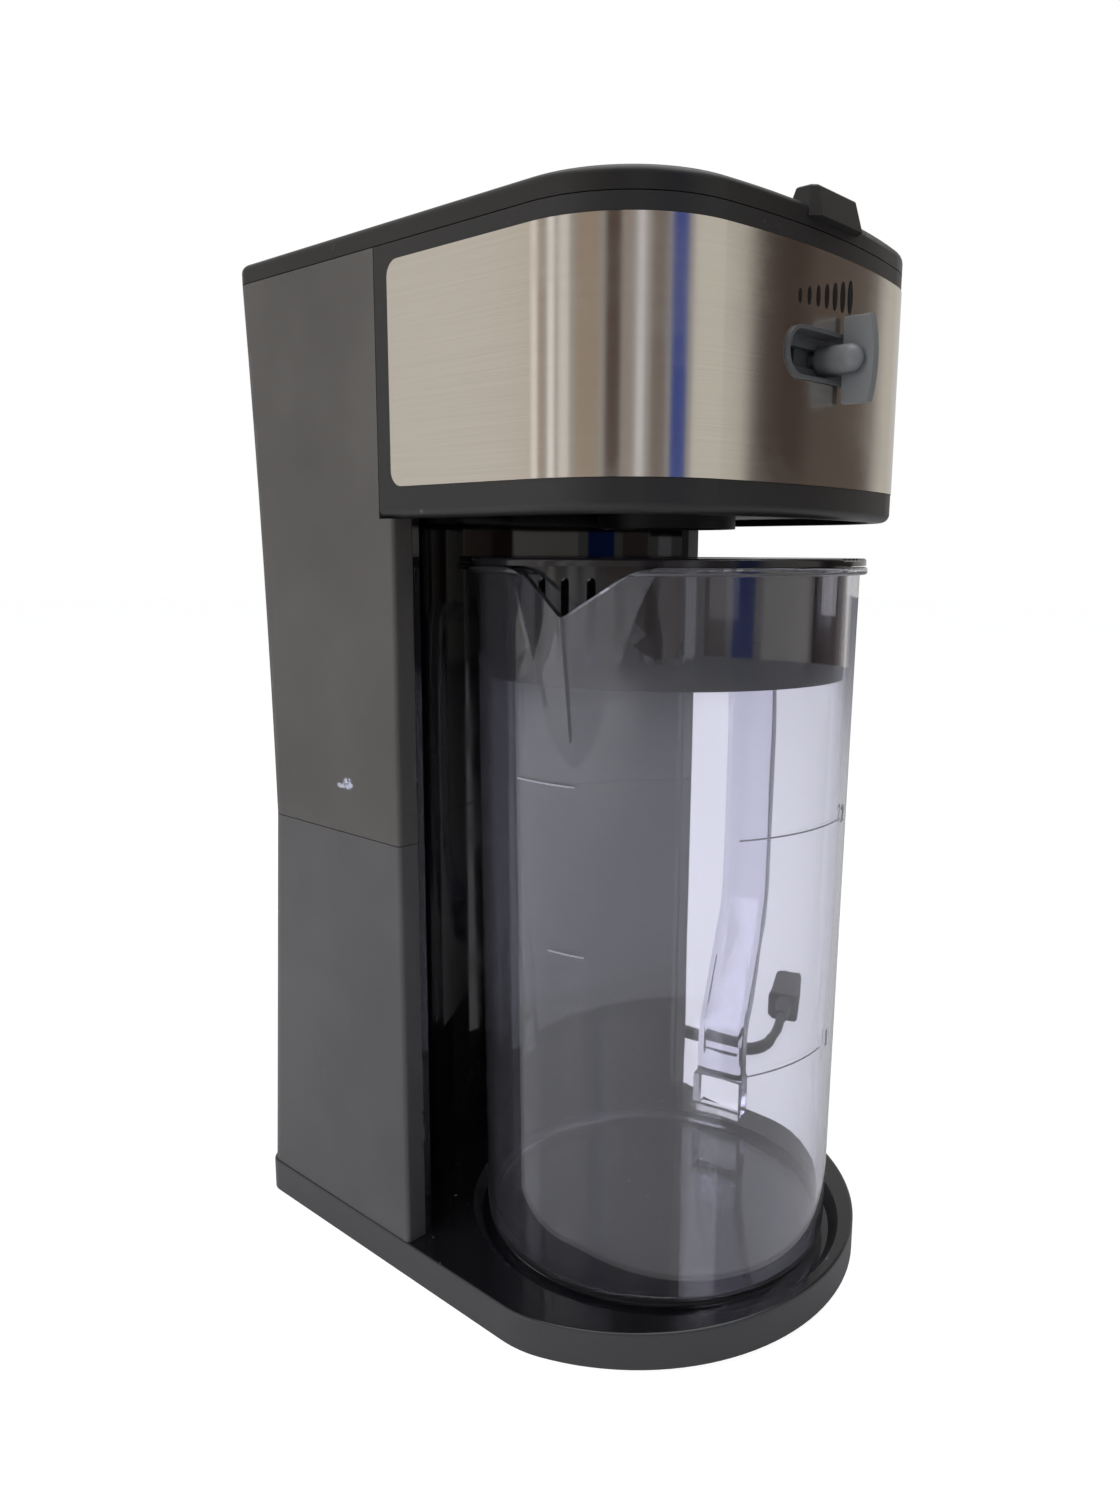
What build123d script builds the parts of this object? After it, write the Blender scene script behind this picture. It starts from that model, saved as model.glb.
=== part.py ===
from build123d import *
import os
from math import asin, atan2, cos, degrees, hypot, pi, radians, sin, sqrt, tan

# An iced tea and coffee maker: a tower with a water tank and heater, a brewing head over a clear jug.
# Millimetres. The origin is on the floor, at the middle of the base plate. +X is to the user's
# right, +Y to the rear and +Z up.

# Overall sizes
base_width = 171.6
base_depth = 210.0
foot_height = 2.2
base_rim_z = 15.1
parting_z = 163.3
head_bottom_z = 273.0
lid_seam_z = 356.1
lid_height = 7.1
tower_width = 170.2
wall = 2.4
seam_gap = 0.3
fit_gap = 0.15
running_gap = 0.35

# Base plate
base_corner_radius = 39.5
base_front_radius = 89.3
rear_corner_radius = 8.0
base_wall = 2.2
base_edge_round = 1.2
dish_depth = 3.9
dish_floor_radius = 66.6
dish_rim_radius = 70.0
cover_thickness = 1.8

# Tower: its rear face is drawn in at the waist
tower_front_behind_jug = 46.1
tower_rear_ledge = 0.7
waist_rear_y = 93.1
top_rear_y = 101.6
rear_bow = 1.5
tower_front_round = 1.6
tongue_height = 4.0
tongue_thickness = 1.1

# Glossy hollow panel behind the jug
panel_radius = 95.2
panel_centre_ahead = 13.9
panel_thickness = 2.2
panel_recess = 0.8
panel_top_above_head = 24.0

# Head
head_front_y = -92.2
head_corner_radius = 41.5
head_front_radius = 306.0
seam_y = 21.1
head_bottom_round = 3.0
bottom_lip_width = 7.0
underside_thickness = 2.2
drip_collar_radius = 24.0
drip_collar_wall = 2.0
drip_collar_depth = 5.2

# Steel band round the head
band_bottom_z = 282.8
band_height = 68.3
band_thickness = 0.7
band_proud = 0.2
band_end_y = 14.5
band_corner_radius = 5.0

# Strength control
control_z = 321.0
slot_half_length = 23.8
slot_height = 15.4
bezel_rim = 1.2
bezel_proud = 0.9
bezel_depth = 7.2
bezel_floor = 2.0
stem_radius = 2.4
stem_slot_margin = 0.4
fin_x = 7.35
fin_width = 3.3
fin_height = 26.0
fin_proud = 11.8
fin_front_bow = 1.6
post_radius = 4.2
post_proud = 5.4
shutter_size = (22.0, 15.0, 1.6)
mark_count = 7
mark_first_x = -17.4
mark_spacing = 4.88
mark_small = (1.5, 4.2)
mark_large = (3.0, 10.0)
mark_first_z = 336.6
mark_last_z = 340.6
mark_thickness = 0.12

# Deck, lid and hinge
deck_thickness = 2.4
deck_below_seam = 4.1
lid_wall = 2.2
lid_edge_round = 2.8
hinge_radius = 3.0
pin_radius = 1.25
pin_length = 17.0
ear_x = 54.5
ear_width = 5.0
ear_depth = 12.0
tab_width = 30.0
tab_height = 5.2
tab_depth = 11.0
tab_overhang = 3.0
tab_taper = 3.0

# Water tank
tank_half_width = 78.0
tank_front_y = 32.0
tank_rear_y = 88.0
tank_panel_gap = 1.6
tank_wall = 2.0
tank_floor_z = 180.0
tank_corner_radius = 6.0

# Water path
water_x = 48.0
water_y = 72.0
spigot_radius = 5.8
spigot_bore = 3.8
spigot_length = 14.0
seal_thickness = 2.2
seal_height = 9.0
valve_radius = 7.6
valve_height = 24.0
hose_radius = 5.6
hose_bore = 3.6
heater_low_z = 36.0
heater_top_z = 92.0
heater_thickness = 13.0
heater_depth = 24.0
heater_bend_radius = 17.0
heater_tube_offset = 5.4
heater_tube_radius = 5.0
heater_tube_bore = 3.4
heater_tube_end = 12.0
element_radius = 3.4
element_end = 7.0
riser_radius = 4.0
riser_bore = 2.4
riser_x = 76.0
riser_y = 25.6
riser_bottom_z = 168.0
riser_hole_gap = 1.8
arm_radius = 2.9
arm_z = 356.7
nozzle_x = 16.0
nozzle_y = -22.0
nozzle_radius = 5.0
nozzle_height = 6.0
clip_width = 4.0
clip_thickness = 1.0

# Brew basket and filter
basket_top_radius = 46.7
basket_bottom_radius = 38.0
basket_floor_z = 292.0
basket_wall = 1.8
basket_flange = 3.4
basket_flange_thickness = 1.4
outlet_radius = 8.0
outlet_bore = 5.0
outlet_bottom_z = 271.6
filter_wall = 1.0
filter_gap = 1.2

# Jug
jug_axis_behind_front = 73.7
jug_bottom_radius = 64.4
jug_rim_radius = 66.5
jug_rim_z = 257.8
jug_wall = 2.6
jug_floor = 3.0
jug_bottom_round = 5.0
jug_lip = 2.4
jug_lip_height = 2.6
jug_turn = 12.0
spout_reach = 9.0
spout_half_angle = 24.0
spout_height = 62.0
spout_dip = 14.0
spout_shoulder_radius = 16.0
handle_width = 22.0
handle_thickness = 9.0
handle_edge_round = 2.6
handle_reach = 34.0
handle_top_z = 236.0
socket_low_z = 20.0
socket_height = 17.0
socket_reach = 12.0

# Jug lid
jug_lid_radius = 68.4
jug_lid_thickness = 2.4
skirt_gap = 1.0
skirt_wall = 1.6
skirt_depth = 37.5
pan_radius = 34.0
pan_depth = 7.0
pan_hole_radius = 9.0
comb_slots = 8
comb_pitch = 8.5
comb_width = 3.0
comb_low = 8.0
comb_high = 34.0

# Switch on the right side
switch_y = 56.0
switch_z = 62.0
switch_height = 21.0
switch_width = 15.0
switch_flange = 2.0
switch_flange_proud = 1.2
switch_depth = 17.0
rocker_tilt = 7.0
rocker_gap = 0.5
rocker_radius = 22.0
lamp_radius = 2.6
lamp_above_switch = 19.0

# Fasteners and feet
foot_radius = 8.0
foot_recess = 1.0
screw_radius = 1.5
screw_head_radius = 3.0
screw_head_height = 1.8
boss_radius = 4.2
boss_height = 20.0

# Mains lead: its route is a list of points chosen by hand
cord_diameter = 6.4
cord_exit_x = 58.0
cord_exit_z = 34.0
gland_length = 24.0
gland_root_radius = 7.0
gland_tip_radius = 4.3
gland_flange_radius = 9.5
plug_length = 34.0
plug_width = 24.0
plug_height = 17.0
plug_neck = 14.0
blade_size = (16.0, 1.5, 6.3)
blade_spacing = 12.7
hank_centre = (120.0, 118.0)
hank_angle = 90.0
hank_half_length = 48.0
hank_end_radius = 19.4
hank_waist = 5.4
hank_step = 7.1
hank_lift = 1.1
hank_runs = 3
tie_width = 9.0
tie_thickness = 0.9

# Places worked out from the sizes above
base_front_y = -base_depth / 2
base_rear_y = base_depth / 2
jug_y = base_front_y + jug_axis_behind_front
tower_front_y = jug_y + tower_front_behind_jug
tower_half = tower_width / 2
base_half = base_width / 2
panel_y = jug_y - panel_centre_ahead
base_tower_rear_y = base_rear_y - tower_rear_ledge
lid_low_z = lid_seam_z + seam_gap
lid_top_z = lid_seam_z + lid_height
deck_top_z = lid_seam_z - deck_below_seam
deck_low_z = deck_top_z - deck_thickness
dish_z = base_rim_z - dish_depth
jug_z = dish_z + running_gap
jug_lid_z = jug_rim_z + running_gap
hinge_y = top_rear_y - hinge_radius
hinge_z = lid_low_z + hinge_radius
tank_cylinder_radius = panel_radius + panel_thickness + tank_panel_gap
underside_low_z = head_bottom_z + wall + fit_gap
valve_low_z = tank_floor_z - spigot_length - valve_height
surface_y = head_front_y - band_proud
cord_radius = cord_diameter / 2


def plate(face, low_z, high_z):
    return Pos(0, 0, low_z) * extrude(face, high_z - low_z)


def upright(radius, low_z, high_z, x=0.0, y=0.0):
    return Pos(x, y, (low_z + high_z) / 2) * Cylinder(radius, high_z - low_z)


def block(x_low, x_high, y_low, y_high, z_low, z_high):
    centre = Pos((x_low + x_high) / 2, (y_low + y_high) / 2, (z_low + z_high) / 2)
    return centre * Box(x_high - x_low, y_high - y_low, z_high - z_low)


def both_sides(piece):
    return piece + mirror(piece, about=Plane.YZ)


def d_outline(half_width, front_y, corner_radius, front_radius, rear_y, rear_radius, inset=0.0):
    """Plan with a bowed front, round front corners and small rear corners, drawn in by an inset."""
    half_width -= inset
    front_y += inset
    corner_radius -= inset
    front_radius -= inset
    rear_y -= inset
    rear_radius = max(rear_radius - inset, 0.5)
    bow_y = front_y + front_radius
    corner_x = half_width - corner_radius
    corner_y = bow_y - sqrt((front_radius - corner_radius) ** 2 - corner_x**2)
    outward = Vector(corner_x, corner_y - bow_y, 0).normalized()
    join = Vector(0, bow_y, 0) + outward * front_radius
    halfway = (outward + Vector(1, 0, 0)).normalized()
    corner_mid = Vector(corner_x, corner_y, 0) + halfway * corner_radius
    rear_mid = rear_radius * (1 - sqrt(0.5))

    def side_edges(side):
        def point(x, y):
            return (side * x, y)

        return [
            ThreePointArc(
                point(join.X, join.Y), point(corner_mid.X, corner_mid.Y), point(half_width, corner_y)
            ),
            Line(point(half_width, corner_y), point(half_width, rear_y - rear_radius)),
            ThreePointArc(
                point(half_width, rear_y - rear_radius),
                point(half_width - rear_mid, rear_y - rear_mid),
                point(half_width - rear_radius, rear_y),
            ),
        ]

    front = ThreePointArc((-join.X, join.Y), (0, front_y), (join.X, join.Y))
    rear = Line((half_width - rear_radius, rear_y), (-half_width + rear_radius, rear_y))
    return make_face(Wire([front, rear, *side_edges(1), *side_edges(-1)]))


def base_plan(inset=0.0):
    return d_outline(
        base_half, base_front_y, base_corner_radius, base_front_radius,
        base_rear_y, rear_corner_radius, inset,
    )


def head_plan(inset=0.0, rear_y=top_rear_y):
    return d_outline(
        tower_half, head_front_y, head_corner_radius, head_front_radius,
        rear_y, rear_corner_radius, inset,
    )


def rear_y_at(z):
    """How far back the rear face is at a height."""
    if z <= parting_z:
        share = (z - base_rim_z) / (parting_z - base_rim_z)
        return base_tower_rear_y + (waist_rear_y - base_tower_rear_y) * share
    share = (z - parting_z) / (lid_seam_z - parting_z)
    return waist_rear_y + (top_rear_y - waist_rear_y) * share - 4 * rear_bow * share * (1 - share)


def upright_edges(body, height):
    """The edges that run all the way up a body."""
    return [e for e in body.edges() if e.bounding_box().size.Z > 0.9 * height]


def tower_block(low_z, high_z, inset=0.0):
    """The tower's outer form between two heights, drawn in by an inset."""
    front = tower_front_y + inset
    low_rear = (rear_y_at(low_z) - inset, low_z)
    high_rear = (rear_y_at(high_z) - inset, high_z)
    if low_z < parting_z:
        rear = Line(low_rear, high_rear)
    else:
        middle_z = (low_z + high_z) / 2
        rear = ThreePointArc(low_rear, (rear_y_at(middle_z) - inset, middle_z), high_rear)
    sides = Polyline(high_rear, (front, high_z), (front, low_z), low_rear)
    half = tower_half - inset
    body = extrude(Plane.YZ * make_face(Wire([rear, *sides.edges()])), half, both=True)
    middle_y = (tower_front_y + waist_rear_y) / 2
    rear_edges = [e for e in upright_edges(body, high_z - low_z) if e.center().Y > middle_y]
    body = fillet(rear_edges, rear_corner_radius - inset)
    if inset == 0:
        front_edges = [e for e in upright_edges(body, high_z - low_z) if e.center().Y < front + 1]
        body = fillet(front_edges, tower_front_round)
    return body


def panel_cylinder(radius, low_z, high_z):
    return upright(radius, low_z, high_z, 0, panel_y)


def screw(x, y, low_z, head_z, head_up=True):
    """A pan-head screw. The head sits above head_z, or below it when it is driven from below."""
    if head_up:
        head = upright(screw_head_radius, head_z, head_z + screw_head_height, x, y)
        slot_z = head_z + screw_head_height
    else:
        head = upright(screw_head_radius, head_z - screw_head_height, head_z, x, y)
        slot_z = head_z - screw_head_height
    shaft = upright(screw_radius, min(low_z, head_z), max(low_z, head_z), x, y)
    slot = Pos(x, y, slot_z) * Box(2 * screw_head_radius, 0.7, 0.9)
    cross = Pos(x, y, slot_z) * Box(0.7, 2 * screw_head_radius, 0.9)
    return head + shaft - slot - cross


def screw_hole(x, y, low_z, high_z, radius=screw_radius):
    return upright(radius, low_z, high_z, x, y)


# Base plate, its cover, feet and screws
foot_places = [(-62, -40), (62, -40), (-70, 84), (70, 84), (0, -88), (0, 0)]
cover_screw_places = [(-40, -66), (40, -66), (-74, 20), (74, 20), (0, 84)]
tower_screw_places = [(-79.6, 46), (79.6, 46), (-79.6, 84), (79.6, 84)]
heater_screw_places = [(-27, water_y), (27, water_y)]
cover_low_z = foot_height + 0.4
cover_top_z = cover_low_z + cover_thickness
tray_ceiling_z = base_rim_z - base_wall
dish_ceiling_z = dish_z - base_wall


def make_base_tray():
    body = plate(base_plan(), foot_height, base_rim_z)
    top_edges = [e for e in body.edges() if abs(e.center().Z - base_rim_z) < 0.01]
    body = fillet(top_edges, base_edge_round)
    dish = Pos(0, jug_y, dish_z) * Cone(
        dish_floor_radius, dish_rim_radius, dish_depth + 0.01,
        align=(Align.CENTER, Align.CENTER, Align.MIN),
    )
    low_room = plate(base_plan(base_wall), foot_height, dish_ceiling_z)
    rear_room = plate(base_plan(base_wall), dish_ceiling_z, tray_ceiling_z)
    rear_room &= block(-base_half, base_half, jug_y + dish_rim_radius + 2, base_rear_y, 0, base_rim_z)
    body = body - dish - low_room - rear_room
    for x, y in cover_screw_places:
        ceiling_z = tray_ceiling_z if y > jug_y + dish_rim_radius + 2 else dish_ceiling_z
        body += upright(boss_radius, cover_top_z + fit_gap, ceiling_z, x, y)
        body -= screw_hole(x, y, cover_top_z, cover_top_z + 4)
    for x, y in tower_screw_places + heater_screw_places:
        body -= screw_hole(x, y, tray_ceiling_z - 1, base_rim_z + 1)
    return body


def make_base_cover():
    body = plate(base_plan(base_wall + fit_gap), cover_low_z, cover_top_z)
    for x, y in cover_screw_places:
        body -= screw_hole(x, y, cover_low_z, cover_top_z)
    for x, y in foot_places:
        body -= upright(foot_radius + fit_gap, cover_low_z, cover_low_z + foot_recess, x, y)
    return body


def make_feet():
    feet = Part()
    for x, y in foot_places:
        foot = upright(foot_radius, 0, cover_low_z + foot_recess, x, y)
        rim = foot.edges().sort_by(Axis.Z)[0]
        feet += fillet(rim, 0.8)
    return feet


def make_base_screws():
    screws = Part()
    for x, y in cover_screw_places:
        screws += screw(x, y, cover_top_z + 4, cover_low_z, head_up=False)
    return screws


def make_tower_screws():
    screws = Part()
    for x, y in tower_screw_places:
        screws += screw(x, y, base_rim_z + 12, tray_ceiling_z, head_up=False)
    return screws


# Tower shells and the hollow panel
def make_lower_shell():
    top_z = parting_z - seam_gap / 2
    body = tower_block(base_rim_z, top_z) - tower_block(base_rim_z, top_z, wall)
    root = tower_block(top_z - tongue_height, top_z, wall / 2)
    root -= tower_block(top_z - tongue_height, top_z, wall + tongue_thickness)
    body += root
    waist_plan = extrude(
        Plane.XY.offset(top_z) * Pos(0, (tower_front_y + waist_rear_y) / 2)
        * RectangleRounded(
            tower_width - 2 * (wall + fit_gap),
            waist_rear_y - tower_front_y - 2 * (wall + fit_gap), rear_corner_radius - wall,
        ),
        tongue_height,
    )
    waist_core = extrude(
        Plane.XY.offset(top_z) * Pos(0, (tower_front_y + waist_rear_y) / 2)
        * RectangleRounded(
            tower_width - 2 * (wall + tongue_thickness),
            waist_rear_y - tower_front_y - 2 * (wall + tongue_thickness),
            rear_corner_radius - wall - 1,
        ),
        tongue_height,
    )
    body += waist_plan - waist_core
    for x, y in tower_screw_places:
        body += upright(boss_radius, base_rim_z, base_rim_z + boss_height, x, y)
        body -= screw_hole(x, y, base_rim_z, base_rim_z + 12)
    body -= panel_cylinder(panel_radius + panel_thickness + fit_gap, base_rim_z, parting_z + tongue_height)
    body -= block(
        tower_half - wall - 1, tower_half + 1,
        switch_y - switch_width / 2 - fit_gap, switch_y + switch_width / 2 + fit_gap,
        switch_z - switch_height / 2 - fit_gap, switch_z + switch_height / 2 + fit_gap,
    )
    body -= Pos(tower_half, switch_y, switch_z + lamp_above_switch) * Rot(0, 90, 0) * Cylinder(lamp_radius, 8)
    body -= Pos(cord_exit_x, base_rear_y, cord_exit_z) * Rot(90, 0, 0) * Cylinder(gland_root_radius, 24)
    return body


def make_upper_shell():
    low_z = parting_z + seam_gap / 2
    body = tower_block(low_z, lid_seam_z) - tower_block(low_z, lid_seam_z, wall)
    for side in (-1, 1):
        x = side * (tower_half - wall - boss_radius + 0.6)
        body += upright(boss_radius, deck_low_z - boss_height, deck_low_z, x, deck_rear_boss_y)
        body -= screw_hole(x, deck_rear_boss_y, deck_low_z - 10, deck_low_z)
    body -= panel_cylinder(panel_radius + panel_thickness + fit_gap, low_z, lid_seam_z)
    body -= block(
        -tower_half - 1, tower_half + 1, tower_front_y - 1, seam_y + seam_gap / 2,
        head_bottom_z - fit_gap, lid_seam_z + 1,
    )
    for side in (-1, 1):
        ear = block(
            side * ear_x - ear_width / 2, side * ear_x + ear_width / 2,
            hinge_y - hinge_radius + 0.4, top_rear_y - 0.4, hinge_z - ear_depth, hinge_z,
        )
        knuckle = Pos(side * ear_x, hinge_y, hinge_z) * Rot(0, 90, 0) * Cylinder(
            hinge_radius - 0.4, ear_width
        )
        bore = Pos(side * ear_x, hinge_y, hinge_z) * Rot(0, 90, 0) * Cylinder(pin_radius, ear_width + 2)
        body += ear + knuckle
        body -= bore
    return body


def panel_half(low_z, high_z):
    ring = panel_cylinder(panel_radius + panel_thickness, low_z, high_z)
    ring -= panel_cylinder(panel_radius, low_z, high_z)
    front = tower_front_y + panel_recess
    return ring & block(-tower_half, tower_half, front, panel_y + 2 * panel_radius, low_z, high_z)


def make_panel_lower():
    return panel_half(base_rim_z, parting_z - seam_gap / 2)


def make_panel_upper():
    return panel_half(parting_z + seam_gap / 2, head_bottom_z + panel_top_above_head)


# Head: frame, steel band, underside and deck
deck_rear_boss_y = 92.5
deck_front_boss_y = jug_y + 22
deck_boss_x = tower_half - wall - boss_radius + 0.6


def band_profile(margin=0.0):
    """Side view of the steel band, with round rear corners, as a block right across the head."""
    height = band_height + 2 * margin
    length = band_end_y + margin - head_front_y + 20
    face = Plane.YZ * Pos(band_end_y + margin - length / 2, band_bottom_z + band_height / 2) * (
        RectangleRounded(length, height, band_corner_radius + margin)
    )
    body = extrude(face, tower_half + 5, both=True)
    front = block(
        -tower_half - 5, tower_half + 5, band_end_y - length - 5, head_front_y + head_corner_radius,
        band_bottom_z - margin, band_bottom_z + band_height + margin,
    )
    return body + front


def stadium_cut(length, height, low_y, high_y, x=0.0):
    """A stadium-shaped block along Y, centred on the control's height."""
    face = Plane.XZ * Pos(x, control_z) * RectangleRounded(length, height, height / 2 - 0.01)
    return Pos(0, high_y, 0) * extrude(face, high_y - low_y)


def make_head_frame():
    body = plate(head_plan(), head_bottom_z, lid_seam_z)
    low_edges = [e for e in body.edges() if abs(e.center().Z - head_bottom_z) < 0.01]
    body = fillet(low_edges, head_bottom_round)
    body -= plate(head_plan(wall), head_bottom_z + wall, lid_seam_z)
    body -= plate(head_plan(bottom_lip_width), head_bottom_z, lid_seam_z)
    body &= block(
        -tower_half - 1, tower_half + 1, head_front_y - 1, seam_y - seam_gap / 2,
        head_bottom_z, lid_seam_z,
    )
    recess = plate(head_plan(-1), band_bottom_z - 5, lid_seam_z)
    recess -= plate(head_plan(band_thickness - band_proud), band_bottom_z - 5, lid_seam_z)
    body -= recess & band_profile(fit_gap)
    for side in (-1, 1):
        body += upright(boss_radius, deck_low_z - boss_height, deck_low_z, side * deck_boss_x, deck_front_boss_y)
        body -= screw_hole(side * deck_boss_x, deck_front_boss_y, deck_low_z - 10, deck_low_z)
    body -= stadium_cut(
        2 * slot_half_length + 2 * fit_gap, slot_height + 2 * fit_gap, surface_y - 5, surface_y + 12
    )
    return body


def make_steel_band():
    sheet = plate(head_plan(-band_proud), band_bottom_z, band_bottom_z + band_height)
    sheet -= plate(head_plan(band_thickness - band_proud), band_bottom_z, band_bottom_z + band_height)
    sheet &= band_profile()
    return sheet - stadium_cut(
        2 * slot_half_length + 2 * fit_gap, slot_height + 2 * fit_gap, surface_y - 5, surface_y + 12
    )


def make_marks():
    """Rising row of printed ovals above the control: weak to strong."""
    skin = plate(head_plan(-band_proud - mark_thickness), band_bottom_z, band_bottom_z + band_height)
    skin -= plate(head_plan(-band_proud), band_bottom_z, band_bottom_z + band_height)
    marks = Part()
    for index in range(mark_count):
        share = index / (mark_count - 1)
        width = mark_small[0] + (mark_large[0] - mark_small[0]) * share
        height = mark_small[1] + (mark_large[1] - mark_small[1]) * share
        x = mark_first_x + mark_spacing * index
        z = mark_first_z + (mark_last_z - mark_first_z) * share
        oval = extrude(Plane.XZ * Pos(x, z) * Ellipse(width / 2, height / 2), 30)
        marks += skin & (Pos(0, surface_y + 20, 0) * oval)
    return marks


def make_underside():
    high_z = underside_low_z + underside_thickness
    front_part = plate(head_plan(wall + fit_gap), underside_low_z, high_z)
    front_part &= block(
        -tower_half, tower_half, head_front_y, tower_front_y - fit_gap, underside_low_z, high_z
    )
    rear_part = panel_cylinder(panel_radius - fit_gap, underside_low_z, high_z)
    rear_part &= block(
        -tower_half, tower_half, tower_front_y - 4, panel_y + 2 * panel_radius, underside_low_z, high_z
    )
    body = front_part + rear_part
    collar = upright(drip_collar_radius, underside_low_z - drip_collar_depth, underside_low_z, 0, jug_y)
    collar -= upright(
        drip_collar_radius - drip_collar_wall, underside_low_z - drip_collar_depth, underside_low_z, 0, jug_y
    )
    return body + collar - upright(outlet_radius + fit_gap, underside_low_z - 1, high_z + 1, 0, jug_y)


def tank_form(inset, low_z, high_z):
    """The tank's plan between two heights: a wide block, hollowed where the panel curves in."""
    width = 2 * (tank_half_width - inset)
    depth = tank_rear_y - tank_front_y - 2 * inset
    middle_y = (tank_rear_y + tank_front_y) / 2
    plan = Pos(0, middle_y) * RectangleRounded(width, depth, tank_corner_radius - inset)
    return plate(plan, low_z, high_z) - panel_cylinder(tank_cylinder_radius + inset, low_z, high_z)


def make_deck():
    rear = rear_y_at(deck_low_z)
    body = plate(head_plan(wall + fit_gap, rear), deck_low_z, deck_top_z)
    body -= tank_form(tank_wall, deck_low_z, deck_top_z)
    body -= upright(basket_top_radius + fit_gap, deck_low_z, deck_top_z, 0, jug_y)
    body -= upright(riser_radius + riser_hole_gap, deck_low_z, deck_top_z, riser_x, riser_y)
    for side in (-1, 1):
        body -= screw_hole(side * deck_boss_x, deck_front_boss_y, deck_low_z, deck_top_z)
        body -= screw_hole(side * deck_boss_x, deck_rear_boss_y, deck_low_z, deck_top_z)
        body -= block(
            side * ear_x - ear_width / 2 - fit_gap, side * ear_x + ear_width / 2 + fit_gap,
            hinge_y - hinge_radius + 0.4 - fit_gap, rear + 1, deck_low_z, deck_top_z,
        )
    return body


def make_deck_screws():
    screws = Part()
    for side in (-1, 1):
        for y in (deck_front_boss_y, deck_rear_boss_y):
            screws += screw(side * deck_boss_x, y, deck_low_z - 10, deck_top_z)
    return screws


# Lid with its finger tab, and the hinge pins
def make_top_lid():
    body = plate(head_plan(), lid_low_z, lid_top_z)
    top_edges = [e for e in body.edges() if abs(e.center().Z - lid_top_z) < 0.01]
    body = fillet(top_edges, lid_edge_round)
    room = plate(head_plan(lid_wall), lid_low_z, lid_top_z - lid_wall)
    room &= block(
        -tower_half, tower_half, head_front_y, hinge_y - hinge_radius - 1.6, lid_low_z, lid_top_z
    )
    body -= room
    heel = block(-tower_half, tower_half, hinge_y, top_rear_y + 1, lid_low_z - 1, hinge_z)
    heel -= Pos(0, hinge_y, hinge_z) * Rot(0, 90, 0) * Cylinder(hinge_radius, tower_width + 2)
    body -= heel
    body += make_tab()
    for side in (-1, 1):
        notch = block(
            side * ear_x - ear_width / 2 - running_gap, side * ear_x + ear_width / 2 + running_gap,
            hinge_y - hinge_radius - 0.1, top_rear_y + 1, lid_low_z - 1, lid_top_z + 1,
        )
        bore = Pos(side * ear_x, hinge_y, hinge_z) * Rot(0, 90, 0) * Cylinder(
            pin_radius + 0.05, pin_length + 1
        )
        body = body - notch - bore
    return body


def make_tab():
    """Finger tab on the lid's front edge: a raised lip, narrower at the top, hollowed beneath."""
    front = head_front_y - tab_overhang
    low_z = lid_low_z + 2.6
    plan = Plane.XY.offset(low_z) * make_face(
        Polyline(
            (-tab_width / 2, front + tab_taper), (-tab_width / 2 + tab_taper, front),
            (tab_width / 2 - tab_taper, front), (tab_width / 2, front + tab_taper),
            (tab_width / 2, front + tab_depth), (-tab_width / 2, front + tab_depth), close=True,
        )
    )
    lip = extrude(plan, lid_top_z + tab_height - low_z, taper=14)
    top = lip.faces().sort_by(Axis.Z)[-1]
    return fillet(top.edges(), 1.1)


def make_hinge_pins():
    pins = Part()
    for side in (-1, 1):
        pins += Pos(side * ear_x, hinge_y, hinge_z) * Rot(0, 90, 0) * Cylinder(pin_radius, pin_length)
    return pins


# Strength control: bezel, sliding fin and the shutter behind it
bezel_back_y = surface_y + bezel_depth
bezel_floor_y = bezel_back_y - bezel_floor
slider_left = fin_x - fin_width / 2 - 2 * post_radius
slider_right = fin_x + fin_width / 2
cavity_half = slot_half_length - bezel_rim


def make_bezel():
    shell = stadium_cut(2 * slot_half_length, slot_height, surface_y - 5, bezel_back_y)
    flange = stadium_cut(2 * slot_half_length + 6, slot_height + 6, head_inner_y, bezel_back_y)
    shell &= plate(head_plan(-bezel_proud - band_proud), control_z - 40, control_z + 40)
    room = stadium_cut(
        2 * cavity_half, slot_height - 2 * bezel_rim, surface_y - 6, bezel_floor_y
    )
    slot = stadium_cut(
        2 * (cavity_half - 1.5), 2 * (stem_radius + stem_slot_margin), surface_y - 6, bezel_back_y
    )
    return shell + flange - room - slot


head_inner_y = head_front_y + wall + 1.4


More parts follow.
